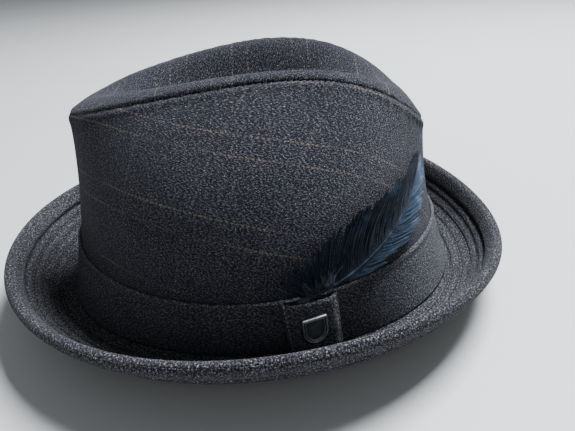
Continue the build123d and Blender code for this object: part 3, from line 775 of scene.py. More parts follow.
def brim_layer(name, face, phase):
    """One brim layer: face is 1 for the top cloth, which wraps the edge, and -1 for the under cloth."""
    half = brim_thickness / 2
    distances = np.stack([np.concatenate([steps(width, coarse_lines_from, 46)[:-1],
                                          steps(coarse_lines_from, brim_last_line, 47)])
                          for width in brim_widths])
    shares = np.stack([share_from_edge(column, distances[column]) for column in range(len(brim_turns))])
    turn = brim_turns[:, None]
    whole_turn = np.append(brim_turns, 2 * math.pi)[:, None]
    around = path_length(brim_point(whole_turn, np.array([[1.0]]), 0.0), 0)[:-1]
    push = channel_push(distances, around, phase)
    push = push * np.clip((brim_widths[:, None] - distances) / 0.004, 0, 1)

    outer = brim_point(turn, shares, face * (half + push))
    inner = brim_point(turn, shares, face * (half - cloth + np.minimum(push, 0.0)))
    radius = half + push[:, -1:]
    tuck = steps(-brim_tuck, -0.0004, 4)
    outward = np.concatenate([outward_way(turn), np.zeros_like(turn)[..., None]], -1)
    whole = []
    for grid, edge_radius in ((outer, radius), (inner, radius - cloth)):
        tucked = grid[:, :1] + outward * (tuck[None, :, None] - brim_ledge)
        rim = rolled_edge(turn, shares[:, -1:], edge_radius, face)
        whole.append(np.concatenate([tucked, grid, rim], 1))
    outer, inner = whole
    flat = outer[:, :1, :2] + outward[..., :2] * path_length(outer, 1)[..., None]
    piece = shell_piece(name, outer, inner, np.concatenate([flat, flat[:1]]), closed=True)

    # painted shade along each stitched row's channel, for the brim's finish to darken
    marks = np.zeros((2,) + outer.shape[:2], dtype="f")
    painted_channel_shade = sum(hill(distances - row, channel_shade_width) for row in (edge_channel,) + stitch_rows)
    marks[0, :, len(tuck):len(tuck) + painted_channel_shade.shape[1]] = painted_channel_shade
    piece.data.attributes.new("painted_channel_shade", "FLOAT", "POINT").data.foreach_set("value", marks.ravel())
    return piece


brim_top = brim_layer("brim_top_tweed", 1, 0.0)
brim_under = brim_layer("brim_under_tweed", -1, 2.6)
finish_piece(brim_top, "hat", brim_tweed, "tweed", "brim_top_cloth")
finish_piece(brim_under, "hat", brim_tweed, "tweed", "brim_under_cloth")

# %% [markdown]
# The band is a strip of the same cloth, folded over along its top edge, and it hugs the wall.
# A strip that follows the wall between two heights also makes the sweatband, its tape and the
# tab, so one helper builds them all from a section: how far each point stands off the wall.
# A Shrinkwrap modifier could press a flat strip on, but it would lose the fold's own shape.

# %% Strips that follow the wall, and the hat band
def wall_strip(name, turns, heights, outer_inset, inner_inset, closed=True):
    """A strip of the wall, from its heights and the insets of its outer and inner faces."""
    if turns.ndim == 1:
        turns = turns[:, None]
    outer = wall_at_height(turns, heights, outer_inset)
    inner = wall_at_height(turns, heights, inner_inset)
    ring = np.concatenate([outer, outer[:1]]) if closed else outer
    around = path_length(ring[:, :1], 0)
    up = path_length(ring, 1)
    flat = np.stack([np.broadcast_to(around, up.shape), up], -1)
    return shell_piece(name, outer, inner, flat, closed=closed)


band_turns = steps(0, 2 * math.pi, 361)[:-1]
strip_foot = 0.0002
fold_width = 0.0007
hem_height = 0.00050
hem_groove = 0.00030
band_ease = 0.00022
fold_start = band_height - fold_width
band_up = np.concatenate([steps(strip_foot, fold_start, 26),
                          fold_start + fold_width * np.sin(steps(0, math.pi / 2, 7))[1:]])
fold_round = np.clip((band_up - fold_start) / fold_width, 0, 1)
fold_round = 1 - np.sqrt(np.clip(1 - fold_round**2, 0, 1))
band_middle = (band_outer_face + band_inner_face) / 2
band_half = (band_inner_face - band_outer_face) / 2
ease = np.sin(band_turns * 9 + 2 * np.sin(band_turns * 4))[:, None] * np.sin(band_up / band_height * 3)
below_fold = band_height - band_up
hem = hem_height * hill(below_fold - 0.0010, 0.0011) - hem_groove * hill(below_fold - 0.0038, 0.0006)
band_outer = band_middle - band_half * (1 - fold_round) - hem - np.abs(band_ease * ease)
band_inner = band_middle + band_half * (1 - fold_round)
hat_band = wall_strip("hat_band_cloth", band_turns, band_up[None, :], band_outer, band_inner[None, :])
finish_piece(hat_band, "hat", band_tweed, "band_tweed", "hat_band")

# %% [markdown]
# The tab is a short strip folded over the band's join and stitched down along both edges. Its
# middle stands off the band and makes the pocket that holds the quill. Here it is the band's
# strip again, with a high power of the place across it for the flat front and quick sides.

# %% The tab over the band's join
tab_turn = math.radians(14.9)
tab_lean = math.radians(-1.5)
tab_width = 0.0238
tab_cloth = 0.0011
tab_foot = 0.0016
tab_top = band_height + 0.0004
tab_gap = 0.0002
tab_pocket = 0.0038
tab_flatness = 6
tab_stitch_place = 0.86
tab_stitch_dip = 0.00030
tab_wave = 0.00018
round_from = 0.955


def rounded(place):
    """The share of the tab's thickness left at a place from -1 to 1, where its ends round off."""
    past = np.clip(np.abs(place) - round_from, 0, 1) / (1 - round_from)
    return np.sqrt(np.clip(1 - past**2, 0.04, 1))


def tab_round_way(place, up):
    """The turn of a place on the tab; place runs -1 to 1 across it and up runs 0 to 1."""
    return tab_turn + place * tab_width / 2 / crown_half_length + tab_lean * (up - 0.5)


tab_across = np.concatenate([steps(-1, -0.8, 16)[:-1], steps(-0.8, 0.8, 33)[:-1], steps(0.8, 1, 16)])[:, None]
tab_up = steps(0, 1, 40)[None, :]
tab_heights = tab_foot + (tab_top - tab_foot) * tab_up
tab_back = band_outer_face - tab_gap - tab_pocket * (1 - np.abs(tab_across) ** tab_flatness)
tab_face = tab_back - tab_cloth * rounded(tab_across) * rounded(tab_up * 2 - 1)
tab_face = tab_face + tab_stitch_dip * hill(np.abs(tab_across) - tab_stitch_place, 0.03)
tab_face = tab_face - np.abs(tab_wave * np.sin(tab_up * 7 + 1) * np.cos(tab_across * 5))
band_tab = wall_strip("band_tab_cloth", tab_round_way(tab_across, tab_up), tab_heights, tab_face, tab_back,
                      closed=False)
finish_piece(band_tab, "hat", tab_tweed, "band_tweed", "band_tab")

# %% [markdown]
# Stitches are the same small thing over and over along a line, which is what Geometry Nodes
# are for. The tree takes the lines, walks along them at the stitch pitch, and puts a short
# fat thread at each step, turned along the line with a little seeded unevenness. The result is
# made real and turned into a plain mesh, so that it travels with the hat like any other piece.

# %% Helpers for Geometry Nodes trees
def new_tree(name, inputs):
    """A tree with a geometry input and output, and named inputs for its sizes."""
    tree = bpy.data.node_groups.new(name, "GeometryNodeTree")
    tree.interface.new_socket("Geometry", in_out="INPUT", socket_type="NodeSocketGeometry")
    for label, kind, value in inputs:
        made = tree.interface.new_socket(label, in_out="INPUT", socket_type="NodeSocket" + kind)
        if value is not None:
            made.default_value = value
    tree.interface.new_socket("Geometry", in_out="OUTPUT", socket_type="NodeSocketGeometry")
    return tree, put(tree, "NodeGroupInput").outputs


def unevenness(tree, given):
    """A small seeded turn of each instance, up to the tree's Unevenness either way."""
    high = put(tree, "ShaderNodeCombineXYZ", {}, {axis: given["Unevenness"] for axis in range(3)}).outputs[0]
    low = put(tree, "ShaderNodeVectorMath", {"operation": "SCALE"}, {0: high, "Scale": -1.0}).outputs[0]
    turn = put(tree, "FunctionNodeRandomValue", {"data_type": "FLOAT_VECTOR"},
               {0: low, 1: high, "Seed": given["Seed"]}).outputs[0]
    return put(tree, "FunctionNodeEulerToRotation", {}, {0: turn}).outputs[0]


def place_each(tree, given, points, instance, facing, scale=(1.0, 1.0, 1.0)):
    """Puts the instance on each point, facing its way with a little unevenness."""
    turned = put(tree, "FunctionNodeRotateRotation", {"rotation_space": "LOCAL"},
                 {0: facing, 1: unevenness(tree, given)}).outputs[0]
    inputs = {"Points": points, "Instance": instance, "Rotation": turned, "Scale": scale}
    return put(tree, "GeometryNodeInstanceOnPoints", {}, inputs).outputs[0]


def end_tree(tree, geometry, material):
    """Realizes what the tree made and gives it its material."""
    real = put(tree, "GeometryNodeRealizeInstances", {}, {0: geometry}).outputs[0]
    smooth = put(tree, "GeometryNodeSetShadeSmooth", {}, {0: real}).outputs[0]
    done = put(tree, "GeometryNodeSetMaterial", {}, {0: smooth, "Material": material}).outputs[0]
    put(tree, "NodeGroupOutput", {}, {0: done})


def grow(name, mesh, tree, **values):
    """Runs a tree on a mesh with these input values and keeps the result as a plain mesh."""
    piece = bpy.data.objects.new(name, mesh)
    bpy.context.collection.objects.link(piece)
    modifier = piece.modifiers.new("grow", "NODES")
    modifier.node_group = tree
    for item in tree.interface.items_tree:
        label = item.name.replace(" ", "_").lower()
        if item.in_out == "INPUT" and label in values:
            modifier[item.identifier] = values[label]
    bpy.context.view_layer.update()
    graph = bpy.context.evaluated_depsgraph_get()
    baked = bpy.data.meshes.new_from_object(piece.evaluated_get(graph), depsgraph=graph)
    piece.modifiers.clear()
    piece.data = baked
    print(name, len(baked.polygons), "faces")
    return piece


def line_mesh(name, lines):
    """A mesh of loose edges through rows of points; each row is (points, closed)."""
    points, edges = [], []
    for row, closed in lines:
        start = len(points)
        points.extend(map(tuple, row))
        edges.extend((start + i, start + i + 1) for i in range(len(row) - 1))
        if closed:
            edges.append((start + len(row) - 1, start))
    mesh = bpy.data.meshes.new(name)
    mesh.from_pydata(points, edges, [])
    return mesh


# %% The stitching tree
stitch_tree, given = new_tree("row_of_stitches", [
    ("Pitch", "Float", 0.0030), ("Stitch Length", "Float", 0.0022), ("Thread", "Float", 0.0005),
    ("Unevenness", "Float", 0.12), ("Seed", "Int", 3), ("Material", "Material", None)])
curves = put(stitch_tree, "GeometryNodeMeshToCurve", {}, {0: given["Geometry"]}).outputs[0]
spots = put(stitch_tree, "GeometryNodeCurveToPoints", {"mode": "LENGTH"},
            {"Curve": curves, "Length": given["Pitch"]}).outputs
bead = put(stitch_tree, "GeometryNodeMeshUVSphere", {}, {"Segments": 6, "Rings": 5, "Radius": 0.5}).outputs[0]
size = put(stitch_tree, "ShaderNodeCombineXYZ", {},
           {0: given["Thread"], 1: given["Thread"], 2: given["Stitch Length"]}).outputs[0]
bead = put(stitch_tree, "GeometryNodeTransform", {}, {0: bead, "Scale": size}).outputs[0]
placed = place_each(stitch_tree, given, spots["Points"], bead, spots["Rotation"])
end_tree(stitch_tree, placed, given["Material"])


def stitch(name, lines, material, slot, pitch, length, thread_width, seed):
    """Sews rows of stitches as one piece of the hat."""
    piece = grow(name, line_mesh(name, lines), stitch_tree, pitch=pitch, stitch_length=length,
                 thread=thread_width, seed=seed, material=material)
    finish_piece(piece, "hat", material, slot)


# %% Stitching on the brim, above and below
thread_rest = 0.00012


def brim_row(face, distance):
    """A line round one face of the brim, resting in the channel at a distance from its edge."""
    shares = np.array([share_from_edge(column, distance) for column in range(len(brim_turns))])
    depth = edge_channel_depth if distance == edge_channel else row_depth
    above = face * (brim_thickness / 2 - depth + thread_rest)
    return brim_point(brim_turns, shares, above), True


for face, name, seed in ((1, "brim_top_stitches", 11), (-1, "brim_under_stitches", 12)):
    rows = [brim_row(face, distance) for distance in (edge_channel,) + stitch_rows]
    stitch(name, rows, dark_thread, "tweed", pitch=0.0034, length=0.0027, thread_width=0.00062, seed=seed)


# %% Stitching on the tab, and along the seam at the top of the crown
def tab_point(place, up):
    """A point of the tab's face; place runs -1 to 1 across it and up runs 0 to 1."""
    lift = tab_pocket * (1 - abs(place) ** tab_flatness)
    inset = band_outer_face - tab_gap - lift - tab_cloth + 0.00015
    return wall_at_height(tab_round_way(place, up), tab_foot + (tab_top - tab_foot) * up, inset)


tab_rows = [(tab_point(side * tab_stitch_place, steps(0.04, 0.96, 24)), False) for side in (-1, 1)]
stitch("tab_stitches", tab_rows, light_thread, "band_tweed", pitch=0.0023, length=0.0016,
       thread_width=0.00042, seed=21)
seam_line = top_panel(band_turns, 0.992) + (0.0, 0.0, -0.0009)
stitch("crown_seam_stitches", [(seam_line, True)], dark_thread, "tweed", pitch=0.0026, length=0.0022,
       thread_width=0.00045, seed=22)

# %% [markdown]
# The badge is a small plain shield with a raised double border and an empty field. It could be
# a curve with a bevel, but its rims and grooves are a few tenths of a millimetre, so it is a
# stack of the same outline, each ring a little smaller or higher than the one before. Two
# prongs go through the tab into a backing plate, which stays as the frame has it.

# %% The shield's outline
badge_width = 0.0104
badge_height = 0.0134
badge_corner = 0.0007
shoulder_share = 0.08
flank_shares = (0.72, 0.66)


def arc_through(first, middle, last, count):
    """Points of the circle through three points, the short way from the first to the last."""
    first, middle, last = (np.array(point) for point in (first, middle, last))
    squares = [middle @ middle - first @ first, last @ last - first @ first]
    centre = np.linalg.solve(2 * np.array([middle - first, last - first]), squares)
    start, end = (math.atan2(*(point - centre)[::-1]) for point in (first, last))
    sweep = steps(start, start + math.remainder(end - start, 2 * math.pi), count)
    return centre + np.linalg.norm(first - centre) * np.stack([np.cos(sweep), np.sin(sweep)], -1)


def shield_outline():
    """The shield, anticlockwise from its top right corner, with softened top corners."""
    half, top = badge_width / 2, badge_height / 2
    shoulder = -badge_height * shoulder_share
    flank = (-half * flank_shares[0], -top * flank_shares[1])
    bend = steps(0, math.pi / 2, 6)
    bend_across, bend_up = badge_corner * np.cos(bend), badge_corner * np.sin(bend)
    inner_half, inner_top = half - badge_corner, top - badge_corner
    right = np.stack([inner_half + bend_across, inner_top + bend_up], -1)
    line = [(x, top) for x in steps(inner_half, -inner_half, 12)[1:-1]]
    left = np.stack([-inner_half - bend_up, inner_top + bend_across], -1)
    side = [(-half, y) for y in steps(inner_top, shoulder, 10)[1:]]
    low_left = arc_through((-half, shoulder), flank, (0.0, -top), 16)[1:]
    low_right = arc_through((0.0, -top), (-flank[0], flank[1]), (half, shoulder), 16)[1:-1]
    climb = [(half, y) for y in steps(shoulder, inner_top, 10)[:-1]]
    return np.concatenate([right, line, left, side, low_left, low_right, climb])


# %% The plain shield
badge_up = 0.0167
badge_tilt = math.radians(6.0)
badge_sunk = 0.00025
field_height = 0.00064
prong_radius = 0.00045
prong_length = 0.0025
prong_place = 0.0024
badge_rings = ((0.0, 0.0), (0.0, 0.0010), (0.00012, 0.00128), (0.00032, 0.00140), (0.00056, 0.00138),
               (0.00070, 0.00112), (0.00078, 0.00080), (0.00100, 0.00078), (0.00108, 0.00100),
               (0.00124, 0.00116), (0.00142, 0.00110), (0.00154, 0.00072), (0.00180, 0.00060),
               (0.0026, 0.00061), (0.0036, 0.00063))
ring_patina = (0.2, 0.1, 0.0, 0.0, 0.1, 0.5, 1.0, 1.0, 0.4, 0.0, 0.2, 0.9, 1.0, 0.9, 0.85)
field_patina = 0.8


def wall_frame(turn, height, inset):
    """A place on the wall with its directions: round to the back, up, and outwards."""
    spot = wall_at_height(turn, height, inset)
    round_way = wall_at_height(turn + 0.01, height, inset) - wall_at_height(turn - 0.01, height, inset)
    up = wall_at_height(turn, height + 0.001, inset) - wall_at_height(turn, height - 0.001, inset)
    round_way, up = Vector(round_way).normalized(), Vector(up).normalized()
    outward = round_way.cross(up).normalized()
    return Vector(spot), round_way, outward.cross(round_way), outward


def shield_mesh(spot, right_way, top_way, outward):
    """The shield's rings, field, flat back and prongs, with a patina for the finish to read."""
    outline = shield_outline()
    work = bmesh.new()
    layers = []
    for inset, rise in badge_rings:
        shrink = np.array([1 - 2 * inset / badge_width, 1 - 2 * inset / badge_height])
        layers.append([work.verts.new(spot + right_way * x + top_way * y + outward * rise)
                       for x, y in outline * shrink])
    middle = work.verts.new(spot + outward * field_height)
    back = work.verts.new(spot)
    for corner in range(len(outline)):
        after = (corner + 1) % len(outline)
        for below, above in zip(layers, layers[1:]):
            work.faces.new((below[corner], below[after], above[after], above[corner]))
        work.faces.new((layers[-1][corner], layers[-1][after], middle))
        work.faces.new((layers[0][after], layers[0][corner], back))
    turned = Matrix((right_way, top_way, outward)).transposed().to_4x4()
    for side in (-1, 1):
        prong = bmesh.ops.create_cone(work, cap_ends=True, segments=12, radius1=prong_radius,
                                      radius2=prong_radius, depth=prong_length)
        place = spot + top_way * (side * prong_place) - outward * 0.00115
        bmesh.ops.transform(work, matrix=Matrix.Translation(place) @ turned, verts=prong["verts"])
    bmesh.ops.recalc_face_normals(work, faces=work.faces)
    mesh = bpy.data.meshes.new("plain_shield")
    work.to_mesh(mesh)
    work.free()
    patina = np.full(len(mesh.vertices), field_patina, dtype="f")
    patina[:len(badge_rings) * len(outline)] = np.repeat(ring_patina, len(outline))
    mesh.attributes.new("patina", "FLOAT", "POINT").data.foreach_set("value", patina)
    return mesh


tab_skin = band_outer_face - tab_gap - tab_pocket - tab_cloth
badge_spot, round_way, up_way, outward = wall_frame(tab_turn, badge_up, tab_skin - badge_sunk)
right_way = round_way * math.cos(badge_tilt) + up_way * math.sin(badge_tilt)
top_way = up_way * math.cos(badge_tilt) - round_way * math.sin(badge_tilt)
badge = object_from_mesh("plain_shield", shield_mesh(badge_spot, right_way, top_way, outward))
finish_piece(badge, "hat", gunmetal, "gunmetal", "badge_shield")
badge_low, badge_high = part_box("badge_shield")
badge_middle = [round((low + high) / 2, 4) for low, high in zip(badge_low, badge_high)]
print("badge at", [round(value, 4) for value in badge_spot], "and the frame's middle", badge_middle)

# %% [markdown]
# A feather is a shaft with hundreds of barbs on each side. Each barb leaves the shaft at a
# slant, bends towards the tip and thins out, and neighbours cling together until a gap opens.
# Blender's hair curves could do it, but they don't leave as a mesh, so one tree grows all the
# barbs: it takes a point for each with the ways it should face and how far it reaches, and puts
# a bent, tapering thread there. Where the barbs stand, their clumps and their lengths are worked
# out first, with a fixed seed. The lowest dark barbs lean back over the tab.

# %% The feather's shaft
feather_turn = math.radians(14.2)
feather_sweep = math.radians(45.5)
feather_start_lift = 0.0008
feather_rise = 0.018
feather_curl = 0.016
feather_stand_off = 0.0017
quill_stand_off = tab_pocket / 2 - band_outer_face
quill_in_tab = 0.0060
quill_radius = 0.0010
quill_tip_radius = 0.00035


def shaft_on_wall(share):
    """The turn and the height above the crown's foot of a share of the shaft's length."""
    height = band_height + feather_start_lift + feather_rise * share + feather_curl * share**2
    return feather_turn + feather_sweep * share, height


def shaft_point(share):
    """A point of the shaft, which stands off most where it leaves the pocket."""
    stand = feather_stand_off + (quill_stand_off - feather_stand_off) * (1 - share) ** 2
    return wall_at_height(*shaft_on_wall(share), -stand)


def shaft_ways(share):
    """Places on the shaft with their ways: towards the tip, away from the crown, and up across."""
    share = np.asarray(share, dtype=float)
    held = np.maximum(share, 0.0)
    ahead = shaft_point(held + 0.01) - shaft_point(held - 0.01)
    start_way = (shaft_point(0.02) - shaft_point(0.0)) / 0.02
    spot = shaft_point(held) + np.minimum(share, 0.0)[..., None] * start_way
    turn, height = shaft_on_wall(held)
    round_way = wall_at_height(turn + 0.01, height) - wall_at_height(turn - 0.01, height)
    up = wall_at_height(turn, height + 0.001) - wall_at_height(turn, height - 0.001)
    out = np.cross(round_way, up)
    ahead = ahead / np.linalg.norm(ahead, axis=-1, keepdims=True)
    out = out - ahead * np.sum(out * ahead, -1, keepdims=True)
    out = out / np.linalg.norm(out, axis=-1, keepdims=True)
    return spot, ahead, out, np.cross(out, ahead)


shaft_length = float(path_length(shaft_ways(steps(0, 1, 60))[0], 0)[-1])
print("shaft length", round(shaft_length, 4))

# %% The quill and the thread wound round its foot
def tube_piece(name, spots, across, out, radius, count=14):
    """A closed tube along points, from two directions across it and its radius at each."""
    angle = steps(0, 2 * math.pi, count + 1)[:-1][:, None, None]
    ring = spots + radius[None, :, None] * (np.cos(angle) * across + np.sin(angle) * out)
    ring = np.concatenate([ring[:, :1] * 0 + spots[:1], ring, ring[:, :1] * 0 + spots[-1:]], 1)
    columns, rows = ring.shape[:2]
    faces = []
    for column in range(columns):
        here, beside = column * rows, ((column + 1) % columns) * rows
        faces.extend((here + row, beside + row, beside + row + 1, here + row + 1) for row in range(rows - 1))
    mesh = bpy.data.meshes.new(name)
    mesh.from_pydata(ring.reshape(-1, 3).tolist(), [], faces)
    work = bmesh.new()
    work.from_mesh(mesh)
    bmesh.ops.remove_doubles(work, verts=work.verts, dist=1e-7)
    bmesh.ops.recalc_face_normals(work, faces=work.faces)
    work.to_mesh(mesh)
    work.free()
    return object_from_mesh(name, mesh)


quill_shares = steps(-quill_in_tab / shaft_length, 1.0, 80)
spots, ahead, out, across = shaft_ways(quill_shares)
taper = quill_radius + (quill_tip_radius - quill_radius) * np.clip(quill_shares, 0, 1)
quill = tube_piece("feather_shaft", spots, across, out, taper)
finish_piece(quill, "feather", quill_finish, "quill", "feather_quill")

wrap_start = 0.0012
wrap_length = 0.0045
wrap_turns = 9
wrap_radius = 0.00115
wrap_thickness = 0.00022
coil = steps(0, 1, wrap_turns * 16)
spots, ahead, out, across = shaft_ways((wrap_start - quill_in_tab + wrap_length * coil) / shaft_length)
coil_angle = (coil * wrap_turns * 2 * math.pi)[:, None]
radial = np.cos(coil_angle) * across + np.sin(coil_angle) * out
wound = spots + radial * wrap_radius
wrap = tube_piece("feather_thread_wrap", wound, radial, ahead, np.full(len(coil), wrap_thickness), 6)
finish_piece(wrap, "feather", wrap_thread, "wrap_thread", "feather_wrap")

# %% The barb tree
barb_tree, given = new_tree("barbs_along_a_shaft", [
    ("Width", "Float", 0.018), ("Bend", "Float", 0.25), ("Slant", "Float", 0.8), ("Arch", "Float", 0.05),
    ("Segments", "Int", 7), ("Unevenness", "Float", 0.06), ("Seed", "Int", 5),
    ("Material", "Material", None)])
elbow_ahead = maths(barb_tree, "MULTIPLY", given["Slant"], maths(barb_tree, "SUBTRACT", 0.5, given["Bend"]))
elbow = put(barb_tree, "ShaderNodeCombineXYZ", {}, {0: 0.55, 1: elbow_ahead, 2: given["Arch"]}).outputs[0]
tip = put(barb_tree, "ShaderNodeCombineXYZ", {}, {0: 1.0, 1: given["Slant"], 2: 0.0}).outputs[0]
bow = {"Resolution": given["Segments"], "Start": (0.0, 0.0, 0.0), "Middle": elbow, "End": tip}
barb = put(barb_tree, "GeometryNodeCurveQuadraticBezier", {}, bow).outputs[0]
place = put(barb_tree, "GeometryNodeSplineParameter").outputs["Factor"]
worn_away = maths(barb_tree, "MULTIPLY", maths(barb_tree, "POWER", place, 2.0), 0.82)
thin = maths(barb_tree, "SUBTRACT", 1.0, worn_away)
barb = put(barb_tree, "GeometryNodeSetCurveRadius", {}, {0: barb, "Radius": thin}).outputs[0]
section = put(barb_tree, "GeometryNodeCurvePrimitiveCircle", {}, {"Resolution": 3, "Radius": given["Width"]})
swept = {0: barb, 1: section.outputs[0], "Fill Caps": True}
barb = put(barb_tree, "GeometryNodeCurveToMesh", {}, swept).outputs[0]
ways = [put(barb_tree, "GeometryNodeInputNamedAttribute", {"data_type": kind}, {"Name": name}).outputs[0]
        for name, kind in (("across", "FLOAT_VECTOR"), ("ahead", "FLOAT_VECTOR"), ("reach", "FLOAT"))]
facing = put(barb_tree, "FunctionNodeAxesToRotation", {"primary_axis": "X", "secondary_axis": "Y"},
             {0: ways[0], 1: ways[1]}).outputs[0]
placed = place_each(barb_tree, given, given["Geometry"], barb, facing, ways[2])
end_tree(barb_tree, placed, given["Material"])


def barb_points(name, spots, across, ahead, reach):
    """A mesh of loose points that carry each barb's ways and reach."""
    mesh = bpy.data.meshes.new(name)
    mesh.from_pydata(spots.tolist(), [], [])
    for label, values, kind in (("across", across, "FLOAT_VECTOR"), ("ahead", ahead, "FLOAT_VECTOR")):
        mesh.attributes.new(label, kind, "POINT").data.foreach_set("vector", values.astype("f").ravel())
    mesh.attributes.new("reach", "FLOAT", "POINT").data.foreach_set("value", reach.astype("f"))
    return mesh


# %% The two vanes
def vane(name, material, side, widths, leans, shares, lift, clump, gather, seed, slant):
    """Barbs of one vane at shares of the shaft; side is 1 above it and -1 below.

    widths and leans are pairs of a share and a value: a barb's reach, and its tip back along the
    shaft. A clump is about so many barbs, which gather towards its middle.
    """
    draw = np.random.default_rng(seed)
    count = len(shares)
    spots, ahead, out, up = shaft_ways(shares)
    reach = np.interp(shares, *zip(*widths))
    group = np.cumsum(draw.random(count) < 1 / clump)
    groups = group.max() + 1
    middle = np.array([shares[group == number].mean() for number in range(groups)])
    swing = draw.normal(0, 0.04, groups)[group] - (shares - middle[group]) * gather
    swing = (swing - np.interp(shares, *zip(*leans)))[:, None]
    reach = reach * (1 + draw.normal(0, 0.05, count) + draw.normal(0, 0.03, groups)[group])
    tilt = draw.normal(0, 0.05, groups)[group]
    across = up * side * np.cos(swing) + ahead * np.sin(swing) + out * tilt[:, None]
    across = across / np.linalg.norm(across, axis=-1, keepdims=True)
    ahead = ahead * np.cos(swing) - up * side * np.sin(swing)
    layer = (np.arange(count) % 3 - 1) * 0.00012
    start = spots + up * side * 0.0003 + out * (lift + layer)[:, None]
    points = barb_points(name, start, across, ahead, reach)
    return grow(name, points, barb_tree, slant=slant, seed=seed, material=material)


upper_widths = ((-0.02, 0.0075), (0.03, 0.0085), (0.07, 0.0097), (0.12, 0.0112), (0.20, 0.0128),
                (0.30, 0.0135), (0.40, 0.0132), (0.60, 0.0112), (0.80, 0.0075), (0.95, 0.0036), (1.0, 0.0022))
upper_leans = ((0.0, 1.75), (0.03, 1.37), (0.07, 0.97), (0.12, 0.70), (0.20, 0.48), (0.30, 0.27),
               (0.40, 0.08), (0.60, -0.10), (0.80, -0.20), (1.0, -0.25))
lower_widths = ((0.10, 0.0030), (0.20, 0.0050), (0.35, 0.0068), (0.60, 0.0078), (0.80, 0.0055),
                (0.93, 0.0034), (1.0, 0.0020))
no_lean = ((0.0, 0.0), (1.0, 0.0))
upper_vane = vane("dark_vane_barbs", dark_vane, 1, upper_widths, upper_leans, steps(-0.005, 0.995, 700),
                  lift=0.0003, clump=24, gather=0.9, seed=31, slant=1.45)
lower_vane = vane("blue_vane_barbs", blue_vane, -1, lower_widths, no_lean, steps(0.16, 0.995, 520),
                  lift=0.0001, clump=55, gather=0.8, seed=32, slant=2.3)
finish_piece(upper_vane, "feather", dark_vane, "dark_vane", "feather_vane_upper")
finish_piece(lower_vane, "feather", blue_vane, "blue_vane", "feather_vane_lower")

# %% [markdown]
# Below the vanes a real feather has a little loose down. Its barbs are the same tree with
# more bend and unevenness, thrown back towards the foot and a little away from the hat.

# %% The down at the feather's foot
draw = np.random.default_rng(41)
down_count = 110
down_top = 0.13
down_shares = draw.uniform(-0.005, down_top, down_count)
spots, ahead, out, up = shaft_ways(down_shares)
thrown_back = np.interp(down_shares, [0.0, down_top], [1.6, 0.2])[:, None]
back = -ahead * thrown_back * draw.uniform(0.5, 1.4, (down_count, 1))
across = up * draw.uniform(0.35, 1.0, (down_count, 1)) + back + out * draw.uniform(0.0, 0.28, (down_count, 1))
across = across / np.linalg.norm(across, axis=-1, keepdims=True)
reach = draw.uniform(0.004, 0.0105, down_count)
down_mesh = barb_points("down_barbs", spots + out * 0.0006, across, np.cross(across, out), reach)
down = grow("down_barbs", down_mesh, barb_tree, slant=0.5, bend=0.45, arch=0.16, width=0.010, segments=8,
            unevenness=0.25, seed=42, material=pale_down)
finish_piece(down, "feather", pale_down, "down", "feather_down")

# %% [markdown]
# Turned over, the hat shows a satin lining gathered in small pleats, with an oval top of its
# own. None of it is seen from above, so it is kept to what such a hat normally has. The pleats
# are a saw-tooth wave round the wall, free in the middle and flat where they are sewn down.

# %% Lining
lining_face = 0.0030
lining_back = 0.0034
lining_drop = 0.00385
lining_oval_inset = 0.0036
lining_cloth = 0.0005
tip_under = 0.00299
sweat_height = 0.034
pleats_round_side = 26
pleat_depth = 0.0013
pleat_fold_share = 0.78


def lining_side(name, side):
    """One side of the lining, gathered into pleats above the sweatband."""
    turns = steps(-math.pi / 2, math.pi / 2, 361)
    shares = steps(0.003, 1.0, 44)
    face = crown_wall(turns[:, None], shares[None, :], lining_face)
    back = crown_wall(turns[:, None], shares[None, :], lining_back)
    height = wall_rise(turns)[:, None] * shares
    free = np.clip((height - sweat_height - 0.001) / 0.012, 0, 1) * np.clip((1 - shares) / 0.06, 0, 1)
    saw = (turns[:, None] * pleats_round_side / math.pi + 0.08 * np.sin(height * 90)) % 1.0
    rise, fall = saw / pleat_fold_share, (1 - saw) / (1 - pleat_fold_share)
    pleat = np.where(saw < pleat_fold_share, rise, fall) ** 1.4
    back = back - grid_normals(face, False) * (pleat_depth * pleat * free)[..., None]
    drop = lining_drop * shares[None, :] ** 8
    for points in (face, back):
        points[..., 2] -= drop
    flat = np.stack([path_length(face, 0), path_length(face, 1)], -1)
    for points in (face, back):
        points[..., 0] *= side
    return shell_piece(name, face, back, flat)


finish_piece(lining_side("lining_left_satin", 1), "hat", satin, "lining_satin", "lining_side_left")
finish_piece(lining_side("lining_right_satin", -1), "hat", satin, "lining_satin", "lining_side_right")
oval_width_share = seam_half_width / (seam_half_width - lining_oval_inset)
oval_length_share = seam_half_length / (seam_half_length - lining_oval_inset)
oval_edge = 1 / np.hypot(oval_width_share * np.cos(tip_turns), oval_length_share * np.sin(tip_turns))
lining_top = dented_top("lining_top_satin", tip_under, lining_cloth, oval_edge[:, None], steps(0, 1, 60), 0.0)
finish_piece(lining_top, "hat", satin, "lining_satin", "lining_tip")

# %% [markdown]
# A woven label is sewn inside the lining's top. It is left blank, as this hat has no maker. A
# rounded rectangle is a high power of its two sides, which gives an edge for every turn.

# %% The blank label inside the top
label_half_width = 0.017
label_half_length = 0.023
label_squareness = 9
label_under = tip_under + 0.00078
label_thread_share = 0.93


def label_edge(share):
    """The rounded rectangle of the label as a radius of the top panel, for each turn."""
    across = seam_half_width * np.abs(np.cos(tip_turns)) / (label_half_width * share)
    along = seam_half_length * np.abs(np.sin(tip_turns)) / (label_half_length * share)
    return (across**label_squareness + along**label_squareness) ** (-1 / label_squareness)


label = dented_top("inside_label", label_under, 0.0003, label_edge(1.0)[:, None], steps(0, 1, 24), 0.0)
finish_piece(label, "hat", label_cloth, "label_tape", "maker_label")
label_row = top_panel(tip_turns, label_edge(label_thread_share), label_under + 0.00035)
stitch("inside_label_stitches", [(label_row, True)], light_thread, "label_tape", pitch=0.0026,
       length=0.0018, thread_width=0.0004, seed=51)

